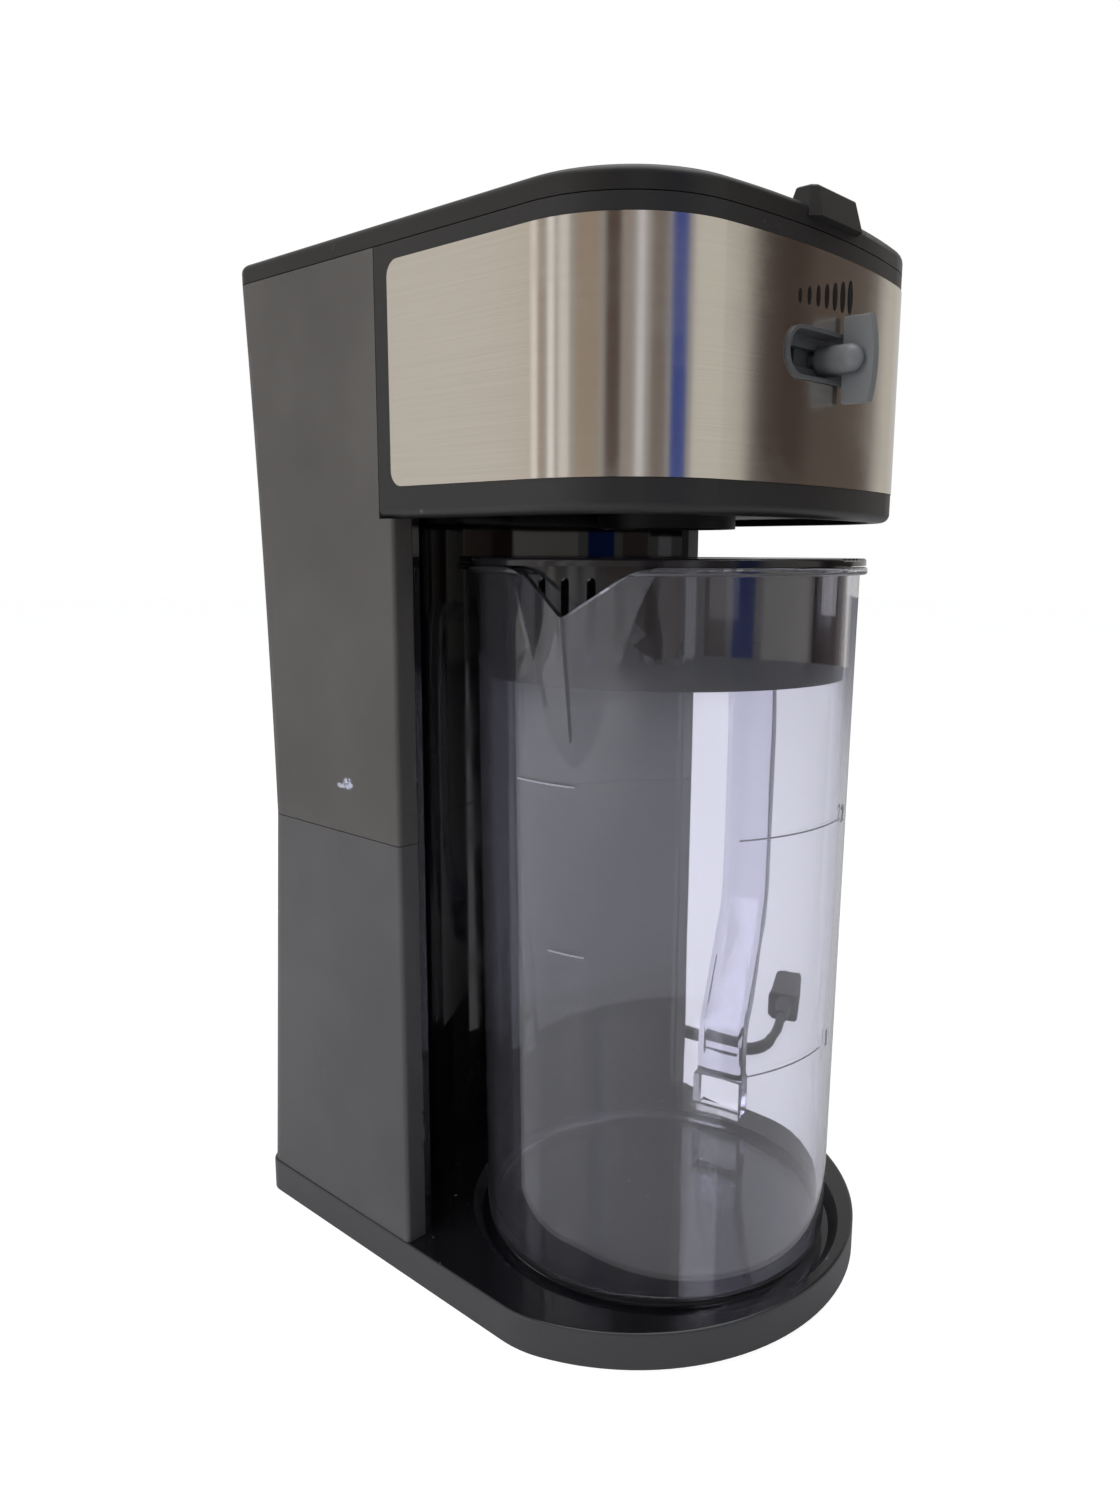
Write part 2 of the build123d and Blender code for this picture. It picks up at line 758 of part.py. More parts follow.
def make_slider():
    fin_back_y = surface_y - bezel_proud - 0.5
    fin_front_y = surface_y - fin_proud
    low_z = control_z - fin_height / 2
    high_z = control_z + fin_height / 2
    edge = ThreePointArc(
        (fin_front_y + fin_front_bow, low_z), (fin_front_y, control_z), (fin_front_y + fin_front_bow, high_z)
    )
    rest = Polyline(
        (fin_front_y + fin_front_bow, high_z), (fin_back_y, high_z), (fin_back_y, low_z),
        (fin_front_y + fin_front_bow, low_z),
    )
    fin = extrude(Plane.YZ * make_face(Wire([edge, *rest.edges()])), fin_width / 2, both=True)
    fin = Pos(fin_x, 0, 0) * fillet(fin.edges().filter_by(Axis.Y), 0.8)
    post_x = fin_x - fin_width / 2 - post_radius + 1.4
    post_front_y = surface_y - post_proud
    post = Pos(post_x, (post_front_y + bezel_floor_y - 0.5) / 2, control_z) * Rot(90, 0, 0) * Cylinder(
        post_radius, bezel_floor_y - 0.5 - post_front_y
    )
    dome = Pos(post_x, post_front_y, control_z) * Sphere(post_radius)
    web = block(
        post_x, slider_right, fin_back_y - 1, bezel_floor_y - 0.5,
        control_z - post_radius, control_z + post_radius,
    )
    stem = Pos(post_x, (bezel_floor_y - 1 + shutter_y) / 2, control_z) * Rot(90, 0, 0) * Cylinder(
        stem_radius, shutter_y - bezel_floor_y + 1
    )
    return fin + post + dome + web + stem


shutter_y = bezel_back_y + 0.4
shutter_x = fin_x - fin_width / 2 - post_radius + 1.4


def make_shutter():
    width, height, thickness = shutter_size
    body = block(
        shutter_x - width / 2, shutter_x + width / 2, shutter_y, shutter_y + thickness,
        control_z - height / 2, control_z + height / 2,
    )
    return fillet(body.edges().filter_by(Axis.Y), 2)


# Water tank, valve, hoses, heater and riser
def make_tank():
    body = tank_form(0, tank_floor_z, deck_low_z)
    body -= tank_form(tank_wall, tank_floor_z + tank_wall, deck_low_z)
    body += upright(spigot_radius, tank_floor_z - spigot_length, tank_floor_z, -water_x, water_y)
    return body - upright(
        spigot_bore, tank_floor_z - spigot_length, tank_floor_z + tank_wall, -water_x, water_y
    )


def make_tank_seal():
    high_z = tank_floor_z - 1
    ring = upright(spigot_radius + seal_thickness, high_z - seal_height, high_z, -water_x, water_y)
    return ring - upright(spigot_radius, high_z - seal_height, high_z, -water_x, water_y)


def make_check_valve():
    high_z = tank_floor_z - spigot_length
    body = upright(valve_radius, valve_low_z + 5, high_z, -water_x, water_y)
    body += upright(hose_bore, valve_low_z - 8, valve_low_z + 5, -water_x, water_y)
    body -= upright(spigot_bore, valve_low_z + 9, high_z, -water_x, water_y)
    return body - upright(hose_bore - 1.2, valve_low_z - 8, valve_low_z + 9, -water_x, water_y)


def heater_path(z_shift=0.0, extra=0.0):
    bend = heater_bend_radius
    return Plane.XZ.offset(-water_y) * FilletPolyline(
        (-water_x, heater_top_z + extra), (-water_x, heater_low_z), (water_x, heater_low_z),
        (water_x, heater_top_z + extra), radius=bend,
    )


def tube_on(path, radius, bore=0.0):
    start = path @ 0
    plane = Plane(origin=start, z_dir=path % 0)
    body = sweep(plane * Circle(radius), path=path)
    if bore:
        body -= sweep(plane * Circle(bore), path=path)
    return body


def make_heater_body():
    path = heater_path()
    plane = Plane(origin=path @ 0, x_dir=(0, 1, 0), z_dir=path % 0)
    section = plane * RectangleRounded(heater_depth, heater_thickness, 4)
    body = sweep(section, path=path)
    channel = Pos(0, heater_tube_offset, 0) * heater_path(extra=1)
    groove = Pos(0, -heater_tube_offset - 1, 0) * heater_path(extra=1)
    return body - tube_on(channel, heater_tube_radius) - tube_on(groove, element_radius)


def make_heater_tube():
    path = Pos(0, heater_tube_offset, 0) * heater_path(extra=heater_tube_end)
    return tube_on(path, heater_tube_radius, heater_tube_bore)


def make_heater_element():
    path = Pos(0, -heater_tube_offset - 1, 0) * heater_path(extra=element_end)
    rod = tube_on(path, element_radius)
    for side in (-1, 1):
        rod += block(
            side * water_x - 0.4, side * water_x + 0.4,
            water_y - heater_tube_offset - 4, water_y - heater_tube_offset + 2,
            heater_top_z + element_end, heater_top_z + element_end + 8,
        )
    return rod


def make_heater_bracket():
    low_z = base_rim_z
    seat_z = heater_low_z - heater_thickness / 2
    half = 16.0
    thickness = 1.6
    width = 14.0
    foot = 20.0
    bracket = block(-half, half, water_y - width / 2, water_y + width / 2, seat_z - thickness, seat_z)
    for side in (-1, 1):
        leg_x = side * (half - thickness / 2)
        bracket += block(
            leg_x - thickness / 2, leg_x + thickness / 2,
            water_y - width / 2, water_y + width / 2, low_z, seat_z,
        )
        foot_x = side * (half + foot / 2)
        bracket += block(
            foot_x - foot / 2, foot_x + foot / 2,
            water_y - width / 2, water_y + width / 2, low_z, low_z + thickness,
        )
    for x, y in heater_screw_places:
        bracket -= screw_hole(x, y, low_z, low_z + thickness)
    return bracket


def make_heater_screws():
    screws = Part()
    for x, y in heater_screw_places:
        screws += screw(x, y, tray_ceiling_z - 1, base_rim_z + 1.6)
    return screws


def make_thermostat():
    low_z = heater_low_z + heater_thickness / 2
    cup = upright(8.0, low_z, low_z + 6, -14, water_y)
    cap = upright(6.5, low_z + 6, low_z + 9, -14, water_y)
    tabs = block(-24.5, -20.5, water_y - 2, water_y + 2, low_z + 6.4, low_z + 7.2)
    tabs += block(-7.5, -3.5, water_y - 2, water_y + 2, low_z + 6.4, low_z + 7.2)
    return cup + cap + tabs


def make_thermal_fuse():
    radius = 2.2
    z = heater_low_z + heater_thickness / 2 + radius
    body = Pos(15, water_y, z) * Rot(0, 90, 0) * Cylinder(radius, 22)
    lead = Pos(15, water_y, z) * Rot(0, 90, 0) * Cylinder(0.6, 32)
    return body + lead


cold_hose_y = water_y + heater_tube_offset


def make_cold_hose():
    low_z = heater_top_z + 2
    high_z = valve_low_z + 4
    path = FilletPolyline(
        (-water_x, cold_hose_y, low_z), (-water_x, cold_hose_y, low_z + 12),
        (-water_x, water_y, high_z - 12), (-water_x, water_y, high_z), radius=20,
    )
    hose = tube_on(path, hose_radius)
    inner = tube_on(path, hose_bore)
    hose -= inner
    return hose - upright(heater_tube_radius, low_z - 1, heater_top_z + heater_tube_end, -water_x, cold_hose_y)


def make_hot_hose():
    low_z = heater_top_z + 2
    high_z = riser_bottom_z + 10
    path = FilletPolyline(
        (water_x, cold_hose_y, low_z), (water_x, cold_hose_y, low_z + 24),
        (riser_x, riser_y, high_z - 34), (riser_x, riser_y, high_z), radius=20,
    )
    hose = tube_on(path, hose_radius) - tube_on(path, hose_bore)
    hose -= upright(heater_tube_radius, low_z - 1, heater_top_z + heater_tube_end, water_x, cold_hose_y)
    return hose - upright(riser_radius, riser_bottom_z, high_z + 1, riser_x, riser_y)


def make_riser():
    path = FilletPolyline(
        (riser_x, riser_y, riser_bottom_z), (riser_x, riser_y, arm_z), (nozzle_x, nozzle_y, arm_z),
        radius=11,
    )
    return tube_on(path, arm_radius, riser_bore) + riser_sleeve()


def riser_sleeve():
    """The lower part of the riser is thicker than its arm."""
    sleeve = upright(riser_radius, riser_bottom_z, deck_top_z, riser_x, riser_y)
    return sleeve - upright(riser_bore, riser_bottom_z, deck_top_z, riser_x, riser_y)


def make_nozzle():
    high_z = arm_z + arm_radius + 0.6
    direction = Vector(nozzle_x - riser_x, nozzle_y - riser_y, 0).normalized()
    x = nozzle_x + direction.X * nozzle_radius
    y = nozzle_y + direction.Y * nozzle_radius
    body = upright(nozzle_radius, high_z - nozzle_height - 1.2, high_z, x, y)
    body -= upright(nozzle_radius - 1.2, high_z - nozzle_height - 1.2, high_z - 1.2, x, y)
    arm_end = Pos(nozzle_x, nozzle_y, arm_z) * Sphere(arm_radius)
    return body - arm_end


def clip_ring(x, y, z, radius):
    ring = upright(radius + clip_thickness, z, z + clip_width, x, y)
    ring -= upright(radius, z, z + clip_width, x, y)
    for side in (-1, 1):
        ring += block(
            x + side * 2 - 0.5, x + side * 2 + 0.5, y + radius, y + radius + 5, z, z + clip_width
        )
    return ring


def make_hose_clips():
    clips = clip_ring(-water_x, cold_hose_y, heater_top_z + 5, hose_radius)
    clips += clip_ring(water_x, cold_hose_y, heater_top_z + 5, hose_radius)
    clips += clip_ring(-water_x, water_y, valve_low_z - 5, hose_radius)
    return clips


# Brew basket and its filter
def cup(top_radius, bottom_radius, floor_z, top_z, thickness):
    outer = Pos(0, jug_y, floor_z) * Cone(
        bottom_radius, top_radius, top_z - floor_z, align=(Align.CENTER, Align.CENTER, Align.MIN)
    )
    inner = Pos(0, jug_y, floor_z + thickness) * Cone(
        bottom_radius - thickness, top_radius - thickness, top_z - floor_z - thickness,
        align=(Align.CENTER, Align.CENTER, Align.MIN),
    )
    return outer - inner


def make_basket():
    body = cup(basket_top_radius, basket_bottom_radius, basket_floor_z, deck_top_z, basket_wall)
    flange = upright(
        basket_top_radius + basket_flange, deck_top_z, deck_top_z + basket_flange_thickness, 0, jug_y
    )
    flange -= upright(
        basket_top_radius - basket_wall, deck_top_z, deck_top_z + basket_flange_thickness, 0, jug_y
    )
    body += flange
    body += upright(outlet_radius, outlet_bottom_z, basket_floor_z, 0, jug_y)
    return body - upright(outlet_bore, outlet_bottom_z, basket_floor_z + basket_wall, 0, jug_y)


def make_filter():
    shrink = basket_wall + filter_gap
    body = cup(
        basket_top_radius - shrink, basket_bottom_radius - shrink,
        basket_floor_z + basket_wall + 0.2, deck_top_z - 1, filter_wall,
    )
    for turn in range(0, 360, 30):
        body += Pos(0, jug_y, 0) * Rot(0, 0, turn) * filter_rib(shrink)
    return body


def filter_rib(shrink):
    """One of the upright ribs that hold the filter's gauze off the basket."""
    low = basket_bottom_radius - shrink
    high = basket_top_radius - shrink
    low_z = basket_floor_z + basket_wall + 0.2
    high_z = deck_top_z - 1
    reach = filter_gap - 0.3
    face = Plane.XZ * make_face(
        Polyline(
            (low - 0.5, low_z), (low + reach, low_z), (high + reach, high_z), (high - 0.5, high_z),
            close=True,
        )
    )
    return extrude(face, 0.6, both=True)


# Jug with its handle and lid
def jug_radius_at(z):
    return jug_bottom_radius + (jug_rim_radius - jug_bottom_radius) * (z - jug_z) / (jug_rim_z - jug_z)


def jug_cone(inset, low_z, high_z):
    return Pos(0, jug_y, low_z) * Cone(
        jug_radius_at(low_z) - inset, jug_radius_at(high_z) - inset, high_z - low_z,
        align=(Align.CENTER, Align.CENTER, Align.MIN),
    )


def spout_wedge(inset):
    """The pouring spout: a shallow beak that grows out of the wall towards the rim."""
    low_z = jug_rim_z - spout_height
    half = radians(spout_half_angle)
    low_radius = jug_radius_at(low_z) - inset
    high_radius = jug_rim_radius - inset

    def beak(radius, reach, z, half_angle):
        points = [
            (radius * cos(half_angle) * 0.9, -radius * sin(half_angle)),
            (radius * cos(half_angle), -radius * sin(half_angle)),
            (radius + reach, 0),
            (radius * cos(half_angle), radius * sin(half_angle)),
            (radius * cos(half_angle) * 0.9, radius * sin(half_angle)),
        ]
        return Plane.XY.offset(z) * make_face(Polyline(*points, close=True))

    body = loft([beak(low_radius, 0.05, low_z, half * 0.35), beak(high_radius, spout_reach, jug_rim_z, half)], ruled=True)
    return Pos(0, jug_y, 0) * Rot(0, 0, 180 + jug_turn) * body


def spout_dip_cut():
    """The dip in the rim at the spout: round shoulders running down into a soft V."""
    half = jug_rim_radius * sin(radians(spout_half_angle)) + 2
    shoulder = spout_shoulder_radius
    low_z = jug_rim_z - spout_dip
    edges = []
    for side in (-1, 1):
        rim_end = (side * half, jug_rim_z)
        slope_end = (side * (half - shoulder), jug_rim_z - shoulder * 0.36)
        slope = TangentArc(rim_end, slope_end, tangent=(-side, 0))
        edges += [slope, Line(slope_end, (side * 1.6, low_z)), Line(rim_end, (side * half, jug_rim_z + 5))]
    edges.append(ThreePointArc((-1.6, low_z), (0, low_z - 0.7), (1.6, low_z)))
    edges.append(Line((-half, jug_rim_z + 5), (half, jug_rim_z + 5)))
    face = make_face(Wire(edges))
    body = extrude(Plane.YZ * face, 60)
    return Pos(0, jug_y, 0) * Rot(0, 0, 180 + jug_turn) * Pos(45, 0, 0) * body


def make_jug():
    outer = jug_cone(0, jug_z, jug_rim_z)
    bottom_edge = outer.edges().sort_by(Axis.Z)[0]
    outer = fillet(bottom_edge, jug_bottom_round)
    inner = jug_cone(jug_wall, jug_z + jug_floor, jug_rim_z)
    inner = fillet(inner.edges().sort_by(Axis.Z)[0], jug_bottom_round - jug_wall)
    lip = upright(jug_rim_radius + jug_lip, jug_rim_z - jug_lip_height, jug_rim_z, 0, jug_y)
    lip = fillet(lip.edges(), 1.0)
    body = outer + lip + spout_wedge(0)
    body = body - inner - spout_wedge(jug_wall)
    body -= spout_dip_cut()
    return body + handle_socket()


def at_handle(piece):
    """Turns a piece that was made along +X into the handle's direction."""
    return Pos(0, jug_y, 0) * Rot(0, 0, jug_turn) * piece


def handle_socket():
    radius = jug_radius_at(socket_low_z)
    body = block(
        radius - 1.5, radius + socket_reach, -handle_width / 2, handle_width / 2,
        socket_low_z, socket_low_z + socket_height,
    )
    outer_edges = [e for e in body.edges() if e.center().X > radius + socket_reach - 0.1]
    return at_handle(fillet(outer_edges, 1.5))


def make_handle():
    wall_x = jug_radius_at(handle_top_z) - 3
    far_x = jug_radius_at(handle_top_z) + handle_reach - handle_thickness / 2
    socket_top = socket_low_z + socket_height
    foot_x = jug_radius_at(socket_top) + socket_reach / 2 + 0.2
    path = Plane.XZ * FilletPolyline(
        (wall_x, handle_top_z), (far_x - 3, handle_top_z - 5), (far_x + 1, handle_top_z - 46),
        (far_x - 1, socket_top + 72), (foot_x, socket_top + 19), (foot_x, socket_top),
        radius=[14, 200, 60, 30],
    )
    plane = Plane(origin=path @ 0, x_dir=(0, 1, 0), z_dir=path % 0)
    section = plane * RectangleRounded(handle_width, handle_thickness, handle_edge_round)
    body = at_handle(sweep(section, path=path))
    return body - jug_cone(0, jug_z, jug_rim_z)


def make_jug_lid():
    low_z = jug_lid_z
    high_z = low_z + jug_lid_thickness
    flange = upright(jug_lid_radius, low_z, high_z, 0, jug_y)
    flange = fillet(flange.edges().sort_by(Axis.Z)[-1], 1.0)
    skirt_radius = jug_radius_at(jug_rim_z - skirt_depth) - jug_wall - skirt_gap
    skirt = upright(skirt_radius, low_z - skirt_depth, low_z, 0, jug_y)
    skirt -= upright(skirt_radius - skirt_wall, low_z - skirt_depth, low_z, 0, jug_y)
    pan = upright(pan_radius, high_z - pan_depth, high_z, 0, jug_y)
    flange -= upright(pan_radius - 0.1, low_z, high_z, 0, jug_y)
    pan -= upright(pan_radius - skirt_wall, high_z - pan_depth + skirt_wall, high_z, 0, jug_y)
    pan -= upright(pan_hole_radius, high_z - pan_depth, high_z, 0, jug_y)
    body = flange + skirt + pan
    for index in range(comb_slots):
        turn = 180 + jug_turn + (index - (comb_slots - 1) / 2) * comb_pitch
        slot_face = Plane.YZ * Pos(0, low_z - skirt_depth + (comb_low + comb_high) / 2) * (
            SlotOverall(comb_high - comb_low, comb_width, rotation=90)
        )
        slot = Pos(skirt_radius - 4, 0, 0) * extrude(slot_face, 8)
        body -= Pos(0, jug_y, 0) * Rot(0, 0, turn) * slot
    return body


# Switch and lamp
def make_switch_housing():
    y0 = switch_y - switch_width / 2
    y1 = switch_y + switch_width / 2
    z0 = switch_z - switch_height / 2
    z1 = switch_z + switch_height / 2
    body = block(tower_half - switch_depth, tower_half, y0, y1, z0, z1)
    flange = block(
        tower_half, tower_half + switch_flange_proud,
        y0 - switch_flange, y1 + switch_flange, z0 - switch_flange, z1 + switch_flange,
    )
    flange = fillet(flange.faces().sort_by(Axis.X)[-1].edges(), 0.6)
    room = block(tower_half - 10, tower_half + 3, y0 + 1.4, y1 - 1.4, z0 + 1.4, z1 - 1.4)
    body = body + flange - room
    for z in (switch_z - 5, switch_z + 5):
        body += block(
            tower_half - switch_depth - 7, tower_half - switch_depth, switch_y - 3, switch_y + 3,
            z - 0.4, z + 0.4,
        )
    return body


rocker_axis_x = tower_half - 4.0


def make_rocker():
    """Rocker cap, resting tilted to its off side, on a cross axle."""
    half_height = switch_height / 2 - 1.4 - rocker_gap
    half_width = switch_width / 2 - 1.4 - running_gap
    back_x = rocker_axis_x - 2.2
    side_height = half_height - 0.6
    face_x = tower_half + 1.4
    arc = ThreePointArc((face_x + 0.9, -side_height), (face_x, 0), (face_x + 0.9, side_height))
    rest = Polyline(
        (face_x + 0.9, side_height), (back_x, side_height - 1.6), (back_x, -side_height + 1.6),
        (face_x + 0.9, -side_height),
    )
    face = Plane.XZ * make_face(Wire([arc, *rest.edges()]))
    body = extrude(face, half_width, both=True)
    tilted = Pos(rocker_axis_x, 0, 0) * Rot(0, rocker_tilt, 0) * Pos(-rocker_axis_x, 0, 0) * body
    body = Pos(0, switch_y, switch_z) * tilted
    return body - Pos(rocker_axis_x, switch_y, switch_z) * Rot(90, 0, 0) * Cylinder(1.05, switch_width)


def make_rocker_axle():
    return Pos(rocker_axis_x, switch_y, switch_z) * Rot(90, 0, 0) * Cylinder(1.0, switch_width - 2.8)


def make_lamp():
    z = switch_z + lamp_above_switch
    lens = Pos(tower_half - 3, switch_y, z) * Rot(0, 90, 0) * Cylinder(lamp_radius, 8)
    dome = Pos(tower_half + 1, switch_y, z) * Rot(0, 90, 0) * Cone(lamp_radius, 1.6, 0.8)
    return lens + Pos(0.4, 0, 0) * dome


# Wiring inside the tower
def make_terminal_block():
    body = block(16, 44, 90, 97.2, 60, 72)
    for x in (21, 30, 39):
        body -= Pos(x, 90, 66) * Rot(90, 0, 0) * Cylinder(2.2, 4)
    return body


def make_wiring():
    routes = [
        [(cord_exit_x, 97, cord_exit_z + 3), (cord_exit_x, 92, 50), (39, 90, 56), (39, 94, 60)],
        [
            (30, 94, 72), (34, 91, 86), (62, 90, 86), (65, 62, 80),
            (tower_half - switch_depth - 3, switch_y, switch_z + 5.4),
        ],
        [(21, 94, 72), (14, 90, 86), (-20, 86, 74), (-22.5, water_y, heater_low_z + 14)],
    ]
    wires = Part()
    for route in routes:
        path = FilletPolyline(*route, radius=4)
        wires += tube_on(path, 1.1)
    return wires


# Mains lead: strain relief, free stretches, hank, tie and plug
gland_end_y = base_rear_y + gland_length - 4


def make_strain_relief():
    wall_y = rear_y_at(cord_exit_z)
    flange = Pos(cord_exit_x, wall_y + 2.2, cord_exit_z) * Rot(90, 0, 0) * Cylinder(gland_flange_radius, 3.0)
    root = Pos(cord_exit_x, wall_y - 1.5, cord_exit_z) * Rot(90, 0, 0) * Cylinder(gland_root_radius, 9)
    length = gland_end_y - wall_y - 3.5
    sleeve = Pos(cord_exit_x, gland_end_y - length / 2, cord_exit_z) * Rot(-90, 0, 0) * Cone(
        gland_root_radius - 0.8, gland_tip_radius, length
    )
    return flange + root + sleeve


def lead_radii(points):
    """Each bend is as large as its two runs allow."""
    radii = []
    for before, here, after in zip(points, points[1:], points[2:]):
        first = Vector(*here) - Vector(*before)
        second = Vector(*after) - Vector(*here)
        turn = radians(first.get_angle(second))
        radii.append(0.45 * min(first.length, second.length) / tan(turn / 2))
    return radii


def lead_tube(points, name):
    radii = lead_radii(points)
    path = FilletPolyline(*points, radius=radii)
    tube = tube_on(path, cord_radius)
    section = pi * cord_radius**2
    print(
        name, "length", round(path.length, 1), "bend radii", [round(r) for r in radii],
        "volume ratio", round(tube.volume / (section * path.length), 4),
    )
    return tube, path.length


floor_z = cord_radius + 0.05


def hank_point(along, across, z):
    """A point of the hank, from its own long and cross directions."""
    turn = radians(hank_angle)
    x = hank_centre[0] + along * cos(turn) + across * sin(turn)
    y = hank_centre[1] + along * sin(turn) - across * cos(turn)
    return Vector(x, y, z)


def hank_direction(along):
    turn = radians(hank_angle)
    return Vector(along * cos(turn), along * sin(turn), 0)


def two_arcs(start, start_dir, end, end_dir):
    """Two tangent arcs from one point and direction to another."""
    chord = end - start
    reach = chord.dot(chord) / (4 * chord.dot(end_dir))
    middle = (start + start_dir * reach + end - end_dir * reach) * 0.5
    first = TangentArc(start, middle, tangent=start_dir)
    second = TangentArc(middle, end, tangent=first % 1)
    return [first, second]


def hank_edges():
    """Runs lie side by side, drawn in at the waist; each second run climbs one step."""
    edges = []
    z = floor_z + hank_lift
    for run in range(hank_runs):
        sign = 1 if run % 2 == 0 else -1
        climb = hank_step if run % 2 == 1 else 0.0
        start = hank_point(sign * hank_half_length, sign * hank_end_radius, z)
        waist = hank_point(0, sign * hank_waist, z + climb / 2)
        end = hank_point(-sign * hank_half_length, sign * hank_end_radius, z + climb)
        heading = hank_direction(-sign)
        edges += two_arcs(start, heading, waist, heading)
        edges += two_arcs(waist, heading, end, heading)
        z += climb
        if run < hank_runs - 1:
            tip = hank_point(-sign * (hank_half_length + hank_end_radius), 0, z)
            far = hank_point(-sign * hank_half_length, -sign * hank_end_radius, z)
            edges.append(ThreePointArc(end, tip, far))
    return edges


def hank_ends():
    start = hank_point(hank_half_length, hank_end_radius, floor_z + hank_lift)
    sign = 1 if (hank_runs - 1) % 2 == 0 else -1
    top_z = floor_z + hank_lift + hank_step * (hank_runs // 2)
    end = hank_point(-sign * hank_half_length, sign * hank_end_radius, top_z)
    return start, hank_direction(-1), end, hank_direction(-sign)


def least_gap(path_edges):
    """The least distance between parts of the hank that aren't neighbours along it."""
    points = []
    along = 0.0
    for edge in path_edges:
        count = max(4, int(edge.length / 3))
        for step in range(count):
            place = edge @ (step / count)
            points.append((along + edge.length * step / count, place))
        along += edge.length
    least = 1000.0
    for first, (s0, p0) in enumerate(points):
        for s1, p1 in points[first + 1:]:
            if s1 - s0 > 5 * cord_diameter:
                least = min(least, (p1 - p0).length)
    return least - cord_diameter


def make_hank():
    edges = hank_edges()
    start, start_dir, end, end_dir = hank_ends()
    lead_in = Line(start - start_dir * cord_diameter, start)
    lead_out = Line(end, end + end_dir * cord_diameter)
    path = Wire([lead_in, *edges, lead_out])
    gap = least_gap([lead_in, *edges, lead_out])
    tube = tube_on(path, cord_radius)
    print("hank length", round(path.length, 1), "least gap to itself", round(gap, 2))
    return tube, path.length


def make_tie():
    layers = hank_runs // 2
    height = layers * hank_step + cord_diameter
    width = 2 * hank_waist + cord_diameter + 1.6
    low_z = tie_thickness + 0.1
    outer = Plane.YZ * Pos(0, low_z - tie_thickness + (height + 2 * tie_thickness) / 2) * (
        RectangleRounded(width + 2 * tie_thickness, height + 2 * tie_thickness, 3)
    )
    inner = Plane.YZ * Pos(0, low_z + height / 2) * RectangleRounded(width, height, 3 - tie_thickness)
    band = extrude(outer, tie_width / 2, both=True) - extrude(inner, tie_width / 2, both=True)
    return Pos(hank_centre[0], hank_centre[1], 0) * Rot(0, 0, hank_angle) * band


# The two free stretches of the lead
hank_start_x = hank_centre[0] + hank_end_radius
hank_start_y = hank_centre[1] + hank_half_length + cord_diameter
hank_end_y = hank_centre[1] - hank_half_length - cord_diameter
hank_end_z = floor_z + hank_lift + hank_step
plug_z = plug_height / 2
plug_place = (199.0, 21.9)
plug_angle = 20.0
lead_insert = 1.5

route_to_hank = [
    (cord_exit_x, gland_end_y, cord_exit_z),
    (cord_exit_x, 153.0, cord_exit_z),
    (56.0, 185.0, 14.0),
    (75.0, 219.0, floor_z),
    (112.0, 228.0, floor_z),
    (hank_start_x, 207.0, floor_z + hank_lift),
    (hank_start_x, hank_start_y, floor_z + hank_lift),
]

route_to_plug = [
    (hank_start_x, hank_end_y, hank_end_z),
    (hank_start_x, 39.7, hank_end_z),
    (153.6, 20.6, 5.0),
    (176.5, 13.7, 5.0),
    (
        plug_place[0] + lead_insert * cos(radians(plug_angle)),
        plug_place[1] + lead_insert * sin(radians(plug_angle)), plug_z,
    ),
]


def at_plug(piece):
    """Turns a piece that was made along +X from the lead's end into the plug's place."""
    return Pos(plug_place[0], plug_place[1], plug_z) * Rot(0, 0, plug_angle) * piece


def make_plug_body():
    neck = Pos(plug_neck / 2, 0, 0) * Rot(0, 90, 0) * Cone(gland_tip_radius, 6.6, plug_neck)
    body = block(
        plug_neck, plug_neck + plug_length, -plug_width / 2, plug_width / 2,
        -plug_height / 2, plug_height / 2,
    )
    body = fillet(body.edges().filter_by(Axis.X), 4.0)
    body = fillet(body.faces().sort_by(Axis.X)[0].edges(), 2.5)
    for side in (-1, 1):
        for step in range(3):
            x = plug_neck + 9 + 6 * step
            body -= block(
                x, x + 2.6, side * plug_width / 2 - 0.7, side * plug_width / 2 + 0.7,
                -plug_height / 2 + 4, plug_height / 2 - 4,
            )
    return at_plug(neck + body)


def make_plug_blades():
    length, thickness, height = blade_size
    blades = Part()
    for side in (-1, 1):
        y = side * blade_spacing / 2
        x = plug_neck + plug_length
        blade = block(x, x + length, y - thickness / 2, y + thickness / 2, -height / 2, height / 2)
        hole = Pos(x + length - 4, y, 0) * Rot(90, 0, 0) * Cylinder(1.6, 4)
        blades += blade - hole
    return at_plug(blades)


def make_route_to_hank():
    tube, length = lead_tube(route_to_hank, "lead to hank")
    return tube


def make_route_to_plug():
    tube, length = lead_tube(route_to_plug, "lead to plug")
    return tube


def make_hank_tube():
    tube, length = make_hank()
    return tube


